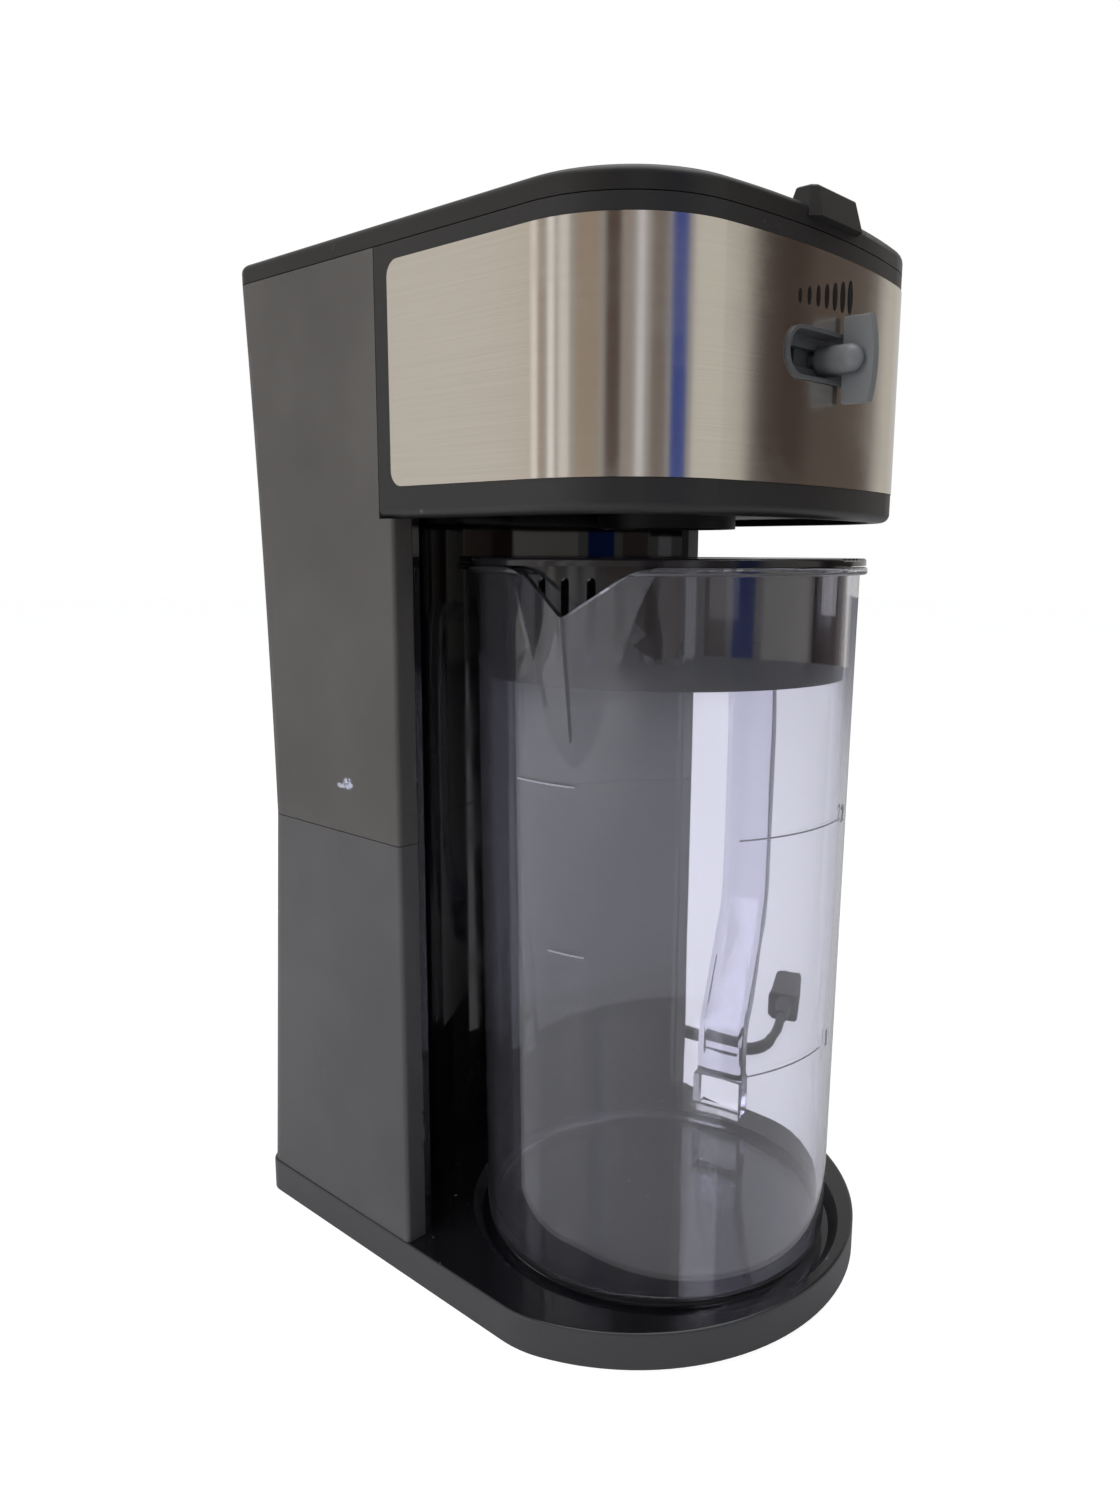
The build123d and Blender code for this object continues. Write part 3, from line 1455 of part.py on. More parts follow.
nodes = {
    "base_tray": make_base_tray,
    "base_bottom_cover": make_base_cover,
    "rubber_feet": make_feet,
    "base_screws": make_base_screws,
    "tower_screws": make_tower_screws,
    "tower_lower_shell": make_lower_shell,
    "tower_upper_shell": make_upper_shell,
    "front_panel_lower": make_panel_lower,
    "front_panel_upper": make_panel_upper,
    "head_frame": make_head_frame,
    "steel_band": make_steel_band,
    "strength_marks": make_marks,
    "head_underside": make_underside,
    "top_deck": make_deck,
    "deck_screws": make_deck_screws,
    "top_lid": make_top_lid,
    "lid_hinge_pins": make_hinge_pins,
    "strength_bezel": make_bezel,
    "strength_slider": make_slider,
    "slider_shutter": make_shutter,
    "water_tank": make_tank,
    "tank_seal": make_tank_seal,
    "check_valve": make_check_valve,
    "cold_hose": make_cold_hose,
    "hot_hose": make_hot_hose,
    "hose_clips": make_hose_clips,
    "heater_body": make_heater_body,
    "heater_tube": make_heater_tube,
    "heater_element": make_heater_element,
    "heater_bracket": make_heater_bracket,
    "heater_screws": make_heater_screws,
    "thermostat": make_thermostat,
    "thermal_fuse": make_thermal_fuse,
    "riser_pipe": make_riser,
    "shower_nozzle": make_nozzle,
    "brew_basket": make_basket,
    "basket_filter": make_filter,
    "jug_body": make_jug,
    "jug_handle": make_handle,
    "jug_lid": make_jug_lid,
    "switch_housing": make_switch_housing,
    "switch_rocker": make_rocker,
    "rocker_axle": make_rocker_axle,
    "indicator_lamp": make_lamp,
    "terminal_block": make_terminal_block,
    "inner_wiring": make_wiring,
    "strain_relief": make_strain_relief,
    "cord_to_hank": make_route_to_hank,
    "cord_hank": make_hank_tube,
    "cord_to_plug": make_route_to_plug,
    "cord_tie": make_tie,
    "plug_body": make_plug_body,
    "plug_blades": make_plug_blades,
}

os.makedirs("parts", exist_ok=True)
for name, make in nodes.items():
    piece = make()
    export_step(piece, "parts/" + name + ".step")
    box = piece.bounding_box()
    print(
        name, "solids", len(piece.solids()), "volume", round(piece.volume), "valid", piece.is_valid,
        "low", [round(v, 1) for v in box.min], "high", [round(v, 1) for v in box.max],
    )
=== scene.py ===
# %% [markdown]
# This lesson dresses a drip brewer for iced tea and coffee: a charcoal tower, a steel-banded head,
# a glossy base and a clear jug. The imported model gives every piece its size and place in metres,
# so the lesson adds the camera, the light, the finishes and a few thin details.

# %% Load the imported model
import bpy
import bmesh
from math import atan2, cos, degrees, radians, sin
from mathutils import Matrix, Vector


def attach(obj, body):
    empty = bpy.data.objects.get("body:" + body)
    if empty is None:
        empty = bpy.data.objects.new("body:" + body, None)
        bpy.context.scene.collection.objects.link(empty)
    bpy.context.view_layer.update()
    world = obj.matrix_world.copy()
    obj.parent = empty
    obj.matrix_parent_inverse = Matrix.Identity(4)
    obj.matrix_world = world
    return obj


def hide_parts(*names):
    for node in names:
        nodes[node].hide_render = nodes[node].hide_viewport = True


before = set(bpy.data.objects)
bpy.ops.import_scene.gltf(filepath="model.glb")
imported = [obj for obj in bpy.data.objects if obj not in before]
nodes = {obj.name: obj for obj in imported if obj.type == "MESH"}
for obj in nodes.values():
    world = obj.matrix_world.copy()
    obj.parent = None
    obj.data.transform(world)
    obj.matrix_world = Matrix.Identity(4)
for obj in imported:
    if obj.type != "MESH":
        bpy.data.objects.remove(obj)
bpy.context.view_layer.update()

# %% [markdown]
# The camera stands low at the brewer's left front corner. A real photograph is matched by a camera
# with the same place, direction and lens; guessing by eye is slower than solving for them once and
# writing the result down, which is what these values are.

# %% Place the camera
camera_place = Vector((-0.3165, -0.2711, 0.2623))
camera_turn = radians(-47.50)
camera_tilt = radians(-9.97)
camera_roll = radians(0.17)
camera_lens = 26.65


def camera_matrix(place, turn, tilt, roll):
    """The camera looks along its own -Z, with its own +Y up."""
    forward = Vector((-sin(turn) * cos(tilt), cos(turn) * cos(tilt), sin(tilt)))
    level_right = Vector((cos(turn), sin(turn), 0.0))
    level_up = level_right.cross(forward)
    right = level_right * cos(roll) + level_up * sin(roll)
    up = right.cross(forward)
    axes = Matrix((right, up, -forward)).transposed()
    return Matrix.Translation(place) @ axes.to_4x4()


camera_data = bpy.data.cameras.new("photo_camera")
camera_data.lens = camera_lens
camera_data.sensor_width = 36.0
camera_data.sensor_fit = "AUTO"
camera_data.clip_start = 0.01
camera = bpy.data.objects.new("photo_camera", camera_data)
bpy.context.scene.collection.objects.link(camera)
camera.matrix_world = camera_matrix(camera_place, camera_turn, camera_tilt, camera_roll)
bpy.context.scene.camera = camera
bpy.context.scene.view_settings.view_transform = "Standard"
print("camera at", [round(v, 3) for v in camera.location], "lens", camera_lens)

# %% [markdown]
# The mains lead leaves the tower's rear, drops to the worktop, is folded into a short tied hank at
# the right side and ends in a two-pin plug. A lead is one bendy line, so it is a curve: its control
# points are the lead's route, and a smooth NURBS spline of order three rounds the corners as a
# rubber sheath would. The bevel is one metre deep and each point's radius scales it to the sheath's,
# because a curve's box grows by its points' radius.

# %% Lay the mains lead
lead_diameter = 0.0064
lead_floor = 0.00325
hank_middle = Vector((0.120, 0.118, 0.0))
hank_half = 0.048
hank_fold = 0.0194
hank_waist = 0.0054
hank_step = 0.0071
hank_low = 0.00435
hank_run_count = 3
fold_point_count = 4
fold_turn = radians(180.0 / fold_point_count)
gland_tip = (0.058, 0.125, 0.034)

lead_drop = [
    gland_tip, (0.058, 0.153, 0.034), (0.056, 0.185, 0.014), (0.075, 0.219, lead_floor),
    (0.112, 0.2252, lead_floor), (0.1394, 0.207, hank_low), (0.1394, 0.1724, hank_low),
]
lead_tail = [
    (0.1394, 0.0636, hank_low + hank_step), (0.1394, 0.0397, hank_low + hank_step),
    (0.1536, 0.0206, 0.005), (0.1765, 0.0137, 0.005), (0.2004, 0.0224, 0.0085),
]

# Half a run, from its end to the waist: how far along it, and how far from the middle line.
half_run = [
    (1.0, hank_fold), (0.66, hank_fold * 0.94), (0.34, hank_waist * 1.25), (0.0, hank_waist),
]
whole_run = half_run + [(-along, across) for along, across in reversed(half_run[:-1])]


def hank_route():
    """Control points of the hank: long runs drawn in at the waist, joined by round folds."""
    route = []
    low = hank_low
    fold_reach = hank_fold / cos(fold_turn / 2)
    for run in range(hank_run_count):
        side = 1 if run % 2 == 0 else -1
        climb = hank_step if run % 2 == 1 else 0.0
        for along, across in whole_run:
            height = low + climb * (1.0 - along) / 2
            route.append((
                hank_middle.x + side * across, hank_middle.y + side * along * hank_half, height,
            ))
        low += climb
        if run < hank_run_count - 1:
            for step in range(fold_point_count):
                angle = fold_turn * (step + 0.5)
                route.append((
                    hank_middle.x + side * fold_reach * cos(angle),
                    hank_middle.y - side * (hank_half + fold_reach * sin(angle)), low,
                ))
    return route


lead_route = lead_drop + hank_route() + lead_tail
lead_curve = bpy.data.curves.new("mains_lead", "CURVE")
lead_curve.dimensions = "3D"
lead_curve.bevel_depth = 1.0
lead_curve.bevel_resolution = 6
lead_curve.resolution_u = 12
lead_curve.use_fill_caps = True
lead_spline = lead_curve.splines.new("NURBS")
lead_spline.points.add(len(lead_route) - 1)
for spline_point, place in zip(lead_spline.points, lead_route):
    spline_point.co = (*place, 1.0)
    spline_point.radius = lead_diameter / 2
lead_spline.order_u = 3
lead_spline.use_endpoint_u = True
mains_lead = bpy.data.objects.new("mains_lead", lead_curve)
bpy.context.scene.collection.objects.link(mains_lead)
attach(mains_lead, "machine")
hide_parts("cord_to_hank", "cord_hank", "cord_to_plug")
print("lead control points", len(lead_route), "length of spline", round(lead_spline.calc_length(), 3))

# %% [markdown]
# The photograph was taken under soft room light and its surroundings were cut away to white. Large
# area lamps give that softness. The world is white to the camera and straight through the clear
# jug, but dimmer in every reflection, because a real room is darker than its lamps.

# %% Light the studio
world = bpy.data.worlds.new("studio_world")
bpy.context.scene.world = world
world.use_nodes = True
world_nodes = world.node_tree.nodes
world_links = world.node_tree.links
world_nodes.clear()
world_out = world_nodes.new("ShaderNodeOutputWorld")
fill_strength = 0.26
gloss_strength = 0.62
white_strength = 1.0


def add_background(colour, strength):
    """One plain background of the world."""
    background = world_nodes.new("ShaderNodeBackground")
    background.inputs["Color"].default_value = (*colour, 1.0)
    background.inputs["Strength"].default_value = strength
    return background


world_fill = add_background((0.93, 0.95, 1.0), fill_strength)
world_white = add_background((1.0, 1.0, 1.0), white_strength)
world_gloss = add_background((0.96, 0.95, 0.93), gloss_strength)


def add_direct_view(tree):
    """One for rays from the camera, also through clear walls, that no face has reflected."""
    path = tree.nodes.new("ShaderNodeLightPath")
    unreflected = tree.nodes.new("ShaderNodeMath")
    unreflected.operation = "LESS_THAN"
    unreflected.inputs[1].default_value = 0.5
    through = tree.nodes.new("ShaderNodeMath")
    through.operation = "MULTIPLY"
    either = tree.nodes.new("ShaderNodeMath")
    either.operation = "MAXIMUM"
    tree.links.new(path.outputs["Glossy Depth"], unreflected.inputs[0])
    tree.links.new(path.outputs["Is Transmission Ray"], through.inputs[0])
    tree.links.new(unreflected.outputs[0], through.inputs[1])
    tree.links.new(path.outputs["Is Camera Ray"], either.inputs[0])
    tree.links.new(through.outputs[0], either.inputs[1])
    return either, path


seen_directly, light_path = add_direct_view(world.node_tree)
gloss_mix = world_nodes.new("ShaderNodeMixShader")
white_mix = world_nodes.new("ShaderNodeMixShader")
world_links.new(light_path.outputs["Is Glossy Ray"], gloss_mix.inputs["Fac"])
world_links.new(world_fill.outputs[0], gloss_mix.inputs[1])
world_links.new(world_gloss.outputs[0], gloss_mix.inputs[2])
world_links.new(seen_directly.outputs[0], white_mix.inputs["Fac"])
world_links.new(gloss_mix.outputs[0], white_mix.inputs[1])
world_links.new(world_white.outputs[0], white_mix.inputs[2])
world_links.new(white_mix.outputs[0], world_out.inputs["Surface"])

subject_middle = Vector((0.0, 0.0, 0.17))


def add_softbox(name, place, size, power, reflected=True):
    """A soft area lamp that faces the middle of the brewer; some only light, without a reflection."""
    lamp_data = bpy.data.lights.new(name, "AREA")
    lamp_data.shape = "RECTANGLE"
    lamp_data.size = size[0]
    lamp_data.size_y = size[1]
    lamp_data.energy = power
    lamp = bpy.data.objects.new(name, lamp_data)
    bpy.context.scene.collection.objects.link(lamp)
    aim = (subject_middle - Vector(place)).normalized()
    lamp.matrix_world = Matrix.Translation(place) @ aim.to_track_quat("-Z", "Y").to_matrix().to_4x4()
    lamp.visible_glossy = reflected
    return lamp


add_softbox("window_left", (-1.5, 0.35, 0.75), (1.3, 1.1), 21.0, reflected=False)
add_softbox("ceiling_panel", (0.1, -0.1, 1.6), (1.4, 1.4), 12.0)
add_softbox("window_right", (1.4, -0.9, 0.7), (0.5, 1.2), 2.5, reflected=False)
add_softbox("front_fill", (-0.5, -1.5, 0.6), (0.5, 1.0), 1.0, reflected=False)

# %% [markdown]
# The worktop is a plain pale sweep. Its material is part paint and part glow: the glow, seen only by
# the camera and straight through the clear jug, keeps it white, and the paint keeps the brewer's soft
# shadow.

# %% Make the worktop
worktop_width = 12.0
worktop_glow = 1.30
worktop_glow_share = 0.72

bpy.ops.object.select_all(action="DESELECT")
bpy.ops.mesh.primitive_plane_add(size=worktop_width, location=(0.0, 0.0, 0.0))
worktop = bpy.context.object
worktop.name = "worktop"
worktop_finish = bpy.data.materials.new("pale_worktop")
worktop_finish.use_nodes = True
tree = worktop_finish.node_tree
tree.nodes.clear()
out = tree.nodes.new("ShaderNodeOutputMaterial")
paint = tree.nodes.new("ShaderNodeBsdfDiffuse")
paint.inputs["Color"].default_value = (0.82, 0.82, 0.83, 1.0)
glow = tree.nodes.new("ShaderNodeEmission")
glow.inputs["Color"].default_value = (1.0, 1.0, 1.0, 1.0)
glow.inputs["Strength"].default_value = worktop_glow
direct, path = add_direct_view(tree)
share = tree.nodes.new("ShaderNodeMath")
share.operation = "MULTIPLY"
share.inputs[1].default_value = worktop_glow_share
blend = tree.nodes.new("ShaderNodeMixShader")
tree.links.new(direct.outputs[0], share.inputs[0])
tree.links.new(share.outputs[0], blend.inputs["Fac"])
tree.links.new(paint.outputs[0], blend.inputs[1])
tree.links.new(glow.outputs[0], blend.inputs[2])
tree.links.new(blend.outputs[0], out.inputs["Surface"])
worktop.data.materials.append(worktop_finish)
print("worktop", worktop_width, "m wide, glow", worktop_glow, "in a share of", worktop_glow_share)

# %% [markdown]
# Polished steel shows its surroundings, so a studio stands dark and pale cards round it. The head's
# band in the photograph has tall streaks: beige, white, brown, blue and near black. These cards
# stand on a wide circle, in front of a dim room wall, and only reflections see them: those on the
# outside and those inside the jug's clear wall.

# %% Stand the reflector cards
card_distance = 2.2
room_distance = 2.6
card_low = -0.6
card_high = 2.4


def add_card(name, start_angle, end_angle, colour, glow_strength, distance=card_distance, steps=6):
    """A tall curved card on the circle, between two compass angles, that only reflections see."""
    card_mesh = bpy.data.meshes.new(name)
    verts = []
    faces = []
    for step in range(steps + 1):
        angle = radians(start_angle + (end_angle - start_angle) * step / steps)
        for height in (card_low, card_high):
            verts.append((distance * cos(angle), distance * sin(angle), height))
    for step in range(steps):
        first = 2 * step
        faces.append((first, first + 1, first + 3, first + 2))
    card_mesh.from_pydata(verts, [], faces)
    card = bpy.data.objects.new(name, card_mesh)
    bpy.context.scene.collection.objects.link(card)
    finish = bpy.data.materials.new(name)
    finish.use_nodes = True
    card_tree = finish.node_tree
    card_tree.nodes.clear()
    card_out = card_tree.nodes.new("ShaderNodeOutputMaterial")
    card_glow = card_tree.nodes.new("ShaderNodeEmission")
    card_glow.inputs["Color"].default_value = (*colour, 1.0)
    card_glow.inputs["Strength"].default_value = glow_strength
    card_tree.links.new(card_glow.outputs[0], card_out.inputs["Surface"])
    card.data.materials.append(finish)
    card.visible_camera = False
    card.visible_diffuse = False
    card.visible_shadow = False
    card.visible_volume_scatter = False
    return card


card_plan = [
    ("card_beige_flank", 118, 139.5, (0.70, 0.67, 0.625), 1.0),
    ("card_tan_rear", 139.5, 142, (0.40, 0.30, 0.21), 1.0),
    ("card_white_rear", 142.5, 146.5, (1.0, 0.98, 0.94), 1.15),
    ("card_tan_side", 147.5, 152, (0.40, 0.31, 0.23), 1.0),
    ("card_white_side", 157, 163, (1.0, 0.96, 0.93), 1.05),
    ("card_pale_side", 167, 176, (1.0, 0.96, 0.92), 0.80),
    ("card_tan_left", 181, 200, (0.36, 0.29, 0.23), 1.0),
    ("card_brown_left", 205, 217, (0.075, 0.045, 0.032), 1.0),
    ("card_grey_left", 219, 226, (0.34, 0.29, 0.27), 1.0),
    ("card_white_left", 229, 235, (0.95, 0.95, 1.0), 0.80),
    ("card_dusk_left", 240, 252, (0.20, 0.165, 0.145), 1.0),
    ("card_blue", 256, 269, (0.028, 0.06, 0.31), 1.0),
    ("card_white_front", 274, 309, (0.78, 0.75, 0.69), 0.86),
    ("card_black_front", 310, 323, (0.052, 0.034, 0.028), 1.0),
    ("card_brown_front", 323, 343, (0.105, 0.082, 0.072), 1.0),
    ("card_pale_right", 345, 356, (0.62, 0.59, 0.54), 1.0),
]
for card_name, low_angle, high_angle, card_colour, card_glow_strength in card_plan:
    add_card(card_name, low_angle, high_angle, card_colour, card_glow_strength)
add_card("room_wall", 96, 349, (0.36, 0.35, 0.345), 1.0, distance=room_distance, steps=60)
print("cards", len(card_plan), "and the room wall")

# %% [markdown]
# Moulded plastic isn't smooth: the tool leaves a fine spark-eroded grain, and hands leave faint
# smudges. Both effects appear on many pieces, so each is a node group with named inputs, built once
# and placed in every finish with its own values.

# %% Build the shared effects
def new_group(name, numbers, outputs):
    """An empty shader group with number inputs and named outputs."""
    group = bpy.data.node_groups.new(name, "ShaderNodeTree")
    for socket_name, value in numbers:
        socket = group.interface.new_socket(socket_name, in_out="INPUT", socket_type="NodeSocketFloat")
        socket.default_value = value
    for socket_name, kind in outputs:
        group.interface.new_socket(socket_name, in_out="OUTPUT", socket_type=kind)
    group_in = group.nodes.new("NodeGroupInput")
    group_out = group.nodes.new("NodeGroupOutput")
    return group, group_in, group_out


def noise_in(tree, scale, detail, vector=None, roughness=0.55):
    """Noise on object coordinates, or on other coordinates that are given."""
    noise = tree.nodes.new("ShaderNodeTexNoise")
    noise.inputs["Scale"].default_value = scale
    noise.inputs["Detail"].default_value = detail
    noise.inputs["Roughness"].default_value = roughness
    if vector is None:
        coords = tree.nodes.new("ShaderNodeTexCoord")
        vector = coords.outputs["Object"]
    tree.links.new(vector, noise.inputs["Vector"])
    return noise


def stretched_coords(tree, scale):
    """Object coordinates, squeezed or stretched along each axis."""
    coords = tree.nodes.new("ShaderNodeTexCoord")
    mapping = tree.nodes.new("ShaderNodeMapping")
    mapping.inputs["Scale"].default_value = scale
    tree.links.new(coords.outputs["Object"], mapping.inputs["Vector"])
    return mapping.outputs["Vector"]


def ranged(tree, value, low, high, new_low, new_high):
    """A value brought from one range to another, and held inside it."""
    node = tree.nodes.new("ShaderNodeMapRange")
    node.inputs["From Min"].default_value = low
    node.inputs["From Max"].default_value = high
    node.inputs["To Min"].default_value = new_low
    node.inputs["To Max"].default_value = new_high
    tree.links.new(value, node.inputs["Value"])
    return node.outputs["Result"]


def arithmetic(tree, operation, first, second):
    """A sum on two values, each a number or another node's output."""
    node = tree.nodes.new("ShaderNodeMath")
    node.operation = operation
    for index, value in enumerate((first, second)):
        if isinstance(value, (int, float)):
            node.inputs[index].default_value = value
        else:
            tree.links.new(value, node.inputs[index])
    return node.outputs[0]


def product(tree, first, second):
    """Two values multiplied."""
    return arithmetic(tree, "MULTIPLY", first, second)


def total(tree, first, second):
    """Two values added."""
    return arithmetic(tree, "ADD", first, second)


def make_grain_group():
    """Fine spark-eroded grain of a mould, with a slow unevenness of shade."""
    group, group_in, group_out = new_group(
        "mould_grain", [("Grain Scale", 900.0)],
        [("Height", "NodeSocketFloat"), ("Shade", "NodeSocketFloat")],
    )
    fine = noise_in(group, 900.0, 2.0)
    group.links.new(group_in.outputs["Grain Scale"], fine.inputs["Scale"])
    slow = noise_in(group, 14.0, 3.0)
    shade = ranged(group, slow.outputs["Fac"], 0.3, 0.7, 0.0, 1.0)
    group.links.new(fine.outputs["Fac"], group_out.inputs["Height"])
    group.links.new(shade, group_out.inputs["Shade"])
    return group


def make_smudge_group():
    """Where hands and cloths have been: soft patches and fine hairline wipes."""
    group, group_in, group_out = new_group(
        "hand_smudges", [("Amount", 1.0)], [("Mask", "NodeSocketFloat"), ("Hairlines", "NodeSocketFloat")],
    )
    patch = noise_in(group, 22.0, 4.0, roughness=0.6)
    patch_mask = ranged(group, patch.outputs["Fac"], 0.5, 0.72, 0.0, 1.0)
    wipe = noise_in(group, 1.0, 2.0, stretched_coords(group, (40.0, 40.0, 700.0)))
    wipe_mask = ranged(group, wipe.outputs["Fac"], 0.62, 0.78, 0.0, 1.0)
    group.links.new(product(group, patch_mask, group_in.outputs["Amount"]), group_out.inputs["Mask"])
    group.links.new(product(group, wipe_mask, group_in.outputs["Amount"]), group_out.inputs["Hairlines"])
    return group


def make_dust_group():
    """Small pale specks of dust, spread in patches."""
    group, group_in, group_out = new_group(
        "settled_dust", [("Amount", 1.0)], [("Mask", "NodeSocketFloat")],
    )
    speck = noise_in(group, 420.0, 1.0)
    speck_mask = ranged(group, speck.outputs["Fac"], 0.74, 0.8, 0.0, 1.0)
    spread = noise_in(group, 16.0, 2.0)
    spread_mask = ranged(group, spread.outputs["Fac"], 0.5, 0.65, 0.0, 1.0)
    both = product(group, speck_mask, spread_mask)
    group.links.new(product(group, both, group_in.outputs["Amount"]), group_out.inputs["Mask"])
    return group


grain_group = make_grain_group()
smudge_group = make_smudge_group()
dust_group = make_dust_group()
print("shared groups", [g.name for g in bpy.data.node_groups])

# %% [markdown]
# A finish starts from the Principled shader, with its constant numbers on its own sockets. The
# groups then vary the colour a little, change the roughness in patches and raise a tiny bump.

# %% Helpers for finishes
def start_finish(name, colour, roughness, metallic=0.0):
    """A new material with the plain numbers of its Principled shader."""
    finish = bpy.data.materials.new(name)
    finish.use_nodes = True
    tree = finish.node_tree
    shader = tree.nodes["Principled BSDF"]
    shader.inputs["Base Color"].default_value = (*colour, 1.0)
    shader.inputs["Roughness"].default_value = roughness
    shader.inputs["Metallic"].default_value = metallic
    return finish, tree, shader


def place_group(tree, group, **values):
    """A shared effect in a finish, with its own values."""
    node = tree.nodes.new("ShaderNodeGroup")
    node.node_tree = group
    for socket_name, value in values.items():
        node.inputs[socket_name.replace("_", " ")].default_value = value
    return node


def mixed_colour(tree, factor, first, second):
    """A colour between two, by a mask. Each colour is a triple or another node's output."""
    node = tree.nodes.new("ShaderNodeMix")
    node.data_type = "RGBA"
    tree.links.new(factor, node.inputs["Factor"])
    for socket, value in ((node.inputs[6], first), (node.inputs[7], second)):
        if isinstance(value, tuple):
            socket.default_value = (*value, 1.0)
        else:
            tree.links.new(value, socket)
    return node.outputs[2]


def add_bump(tree, shader, height, strength, distance):
    """Raises the surface by a height value; the distance is in metres."""
    bump = tree.nodes.new("ShaderNodeBump")
    bump.inputs["Strength"].default_value = strength
    bump.inputs["Distance"].default_value = distance
    tree.links.new(height, bump.inputs["Height"])
    tree.links.new(bump.outputs["Normal"], shader.inputs["Normal"])
    return bump


def moulded_plastic(name, colour, roughness, grain_scale=900.0, grain_depth=0.00004,
                    smudges=0.5, shade_change=0.12, dust=0.0, shine=0.5):
    """Moulded plastic: grain, uneven shade, smudges that shine a little and a few specks of dust."""
    finish, tree, shader = start_finish(name, colour, roughness)
    shader.inputs["Specular IOR Level"].default_value = shine
    grain = place_group(tree, grain_group, Grain_Scale=grain_scale)
    smudge = place_group(tree, smudge_group, Amount=smudges)
    darker = tuple(c * (1.0 - shade_change) for c in colour)
    lighter = tuple(min(1.0, c * (1.0 + shade_change)) for c in colour)
    body_colour = mixed_colour(tree, grain.outputs["Shade"], darker, lighter)
    if dust > 0.0:
        speck = place_group(tree, dust_group, Amount=dust)
        body_colour = mixed_colour(tree, speck.outputs["Mask"], body_colour, (0.42, 0.42, 0.42))
    tree.links.new(body_colour, shader.inputs["Base Color"])
    rough = ranged(tree, smudge.outputs["Mask"], 0.0, 1.0, roughness, max(0.03, roughness - 0.12))
    tree.links.new(rough, shader.inputs["Roughness"])
    add_bump(tree, shader, grain.outputs["Height"], 0.5, grain_depth)
    return finish


def dress(finish, *names):
    """Gives CAD nodes a finish."""
    for name in names:
        mesh = nodes[name].data
        mesh.materials.clear()
        mesh.materials.append(finish)
    print(finish.name, "on", ", ".join(names))


def scene_piece(name, body, finish):
    """Names the active object as a new piece, gives it its finish and attaches it to a body."""
    piece = bpy.context.object
    piece.name = name
    piece.data.name = name
    piece.data.materials.clear()
    piece.data.materials.append(finish)
    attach(piece, body)
    return piece


finish_recipes = [start_finish, moulded_plastic]
print("recipes for finishes", [recipe.__name__ for recipe in finish_recipes])

# %% [markdown]
# The tower and the head's frame are charcoal plastic with a matt tool finish. In the photograph the
# side is a warm dark grey above and a little cooler below, with two small pale scuffs near the
# parting line. A scuff is a mask around one spot, broken up by noise, so that it sits in the
# material.

# %% Charcoal shells
upper_shell = moulded_plastic(
    "upper_shell", (0.062, 0.058, 0.055), 0.46, grain_scale=1100.0, grain_depth=0.00008,
    smudges=0.6, shade_change=0.18, dust=0.12, shine=0.4,
)
lower_shell = moulded_plastic(
    "lower_shell", (0.060, 0.0585, 0.061), 0.46, grain_scale=1100.0, grain_depth=0.00008,
    smudges=0.6, shade_change=0.18, dust=0.12, shine=0.4,
)


def spot_mask(tree, centre, radii, edge=0.35):
    """One inside a stretched ball round a place, nothing outside it."""
    coords = tree.nodes.new("ShaderNodeTexCoord")
    away = tree.nodes.new("ShaderNodeVectorMath")
    away.operation = "SUBTRACT"
    away.inputs[1].default_value = centre
    tree.links.new(coords.outputs["Object"], away.inputs[0])
    shrink = tree.nodes.new("ShaderNodeVectorMath")
    shrink.operation = "DIVIDE"
    shrink.inputs[1].default_value = radii
    tree.links.new(away.outputs[0], shrink.inputs[0])
    distance = tree.nodes.new("ShaderNodeVectorMath")
    distance.operation = "LENGTH"
    tree.links.new(shrink.outputs[0], distance.inputs[0])
    return ranged(tree, distance.outputs["Value"], 1.0 - edge, 1.0, 1.0, 0.0)


scuff_colour = (0.40, 0.42, 0.52)
scuff_grain_scale = 900.0


def add_scuff(finish, centre, radii):
    """A pale rubbed spot in whatever colour the finish already has."""
    tree = finish.node_tree
    shader = tree.nodes["Principled BSDF"]
    current = shader.inputs["Base Color"].links[0].from_socket
    spot = spot_mask(tree, centre, radii)
    broken = noise_in(tree, scuff_grain_scale, 3.0)
    broken_mask = ranged(tree, broken.outputs["Fac"], 0.42, 0.56, 0.0, 1.0)
    scuffed = mixed_colour(tree, product(tree, spot, broken_mask), current, scuff_colour)
    tree.links.new(scuffed, shader.inputs["Base Color"])


add_scuff(upper_shell, (-0.0851, 0.0425, 0.1815), (0.004, 0.0032, 0.0024))
add_scuff(upper_shell, (-0.0851, 0.0465, 0.1803), (0.004, 0.0036, 0.0010))
dress(upper_shell, "tower_upper_shell")
dress(lower_shell, "tower_lower_shell", "base_bottom_cover")

frame_plastic = moulded_plastic(
    "head_frame_plastic", (0.016, 0.0155, 0.016), 0.42, grain_scale=1100.0, smudges=0.5, dust=0.1, shine=0.35
)
dress(frame_plastic, "head_frame")

# %% [markdown]
# The top lid is black with a soft, slightly greasy sheen; the underside and the deck are plainer.

# %% Black matt pieces
lid_plastic = moulded_plastic(
    "lid_plastic", (0.012, 0.0115, 0.0115), 0.38, grain_scale=1000.0, smudges=0.9, dust=0.25, shine=0.35
)
dress(lid_plastic, "top_lid")
under_plastic = moulded_plastic(
    "under_plastic", (0.010, 0.010, 0.011), 0.42, smudges=0.2, shine=0.35
)
dress(under_plastic, "head_underside", "top_deck", "strain_relief", "switch_housing")

# %% [markdown]
# The hollow panel behind the jug and the jug's lid are polished black. A polished face needs very
# low roughness; what makes it real is the faint haze of wiping, which the smudge group gives.

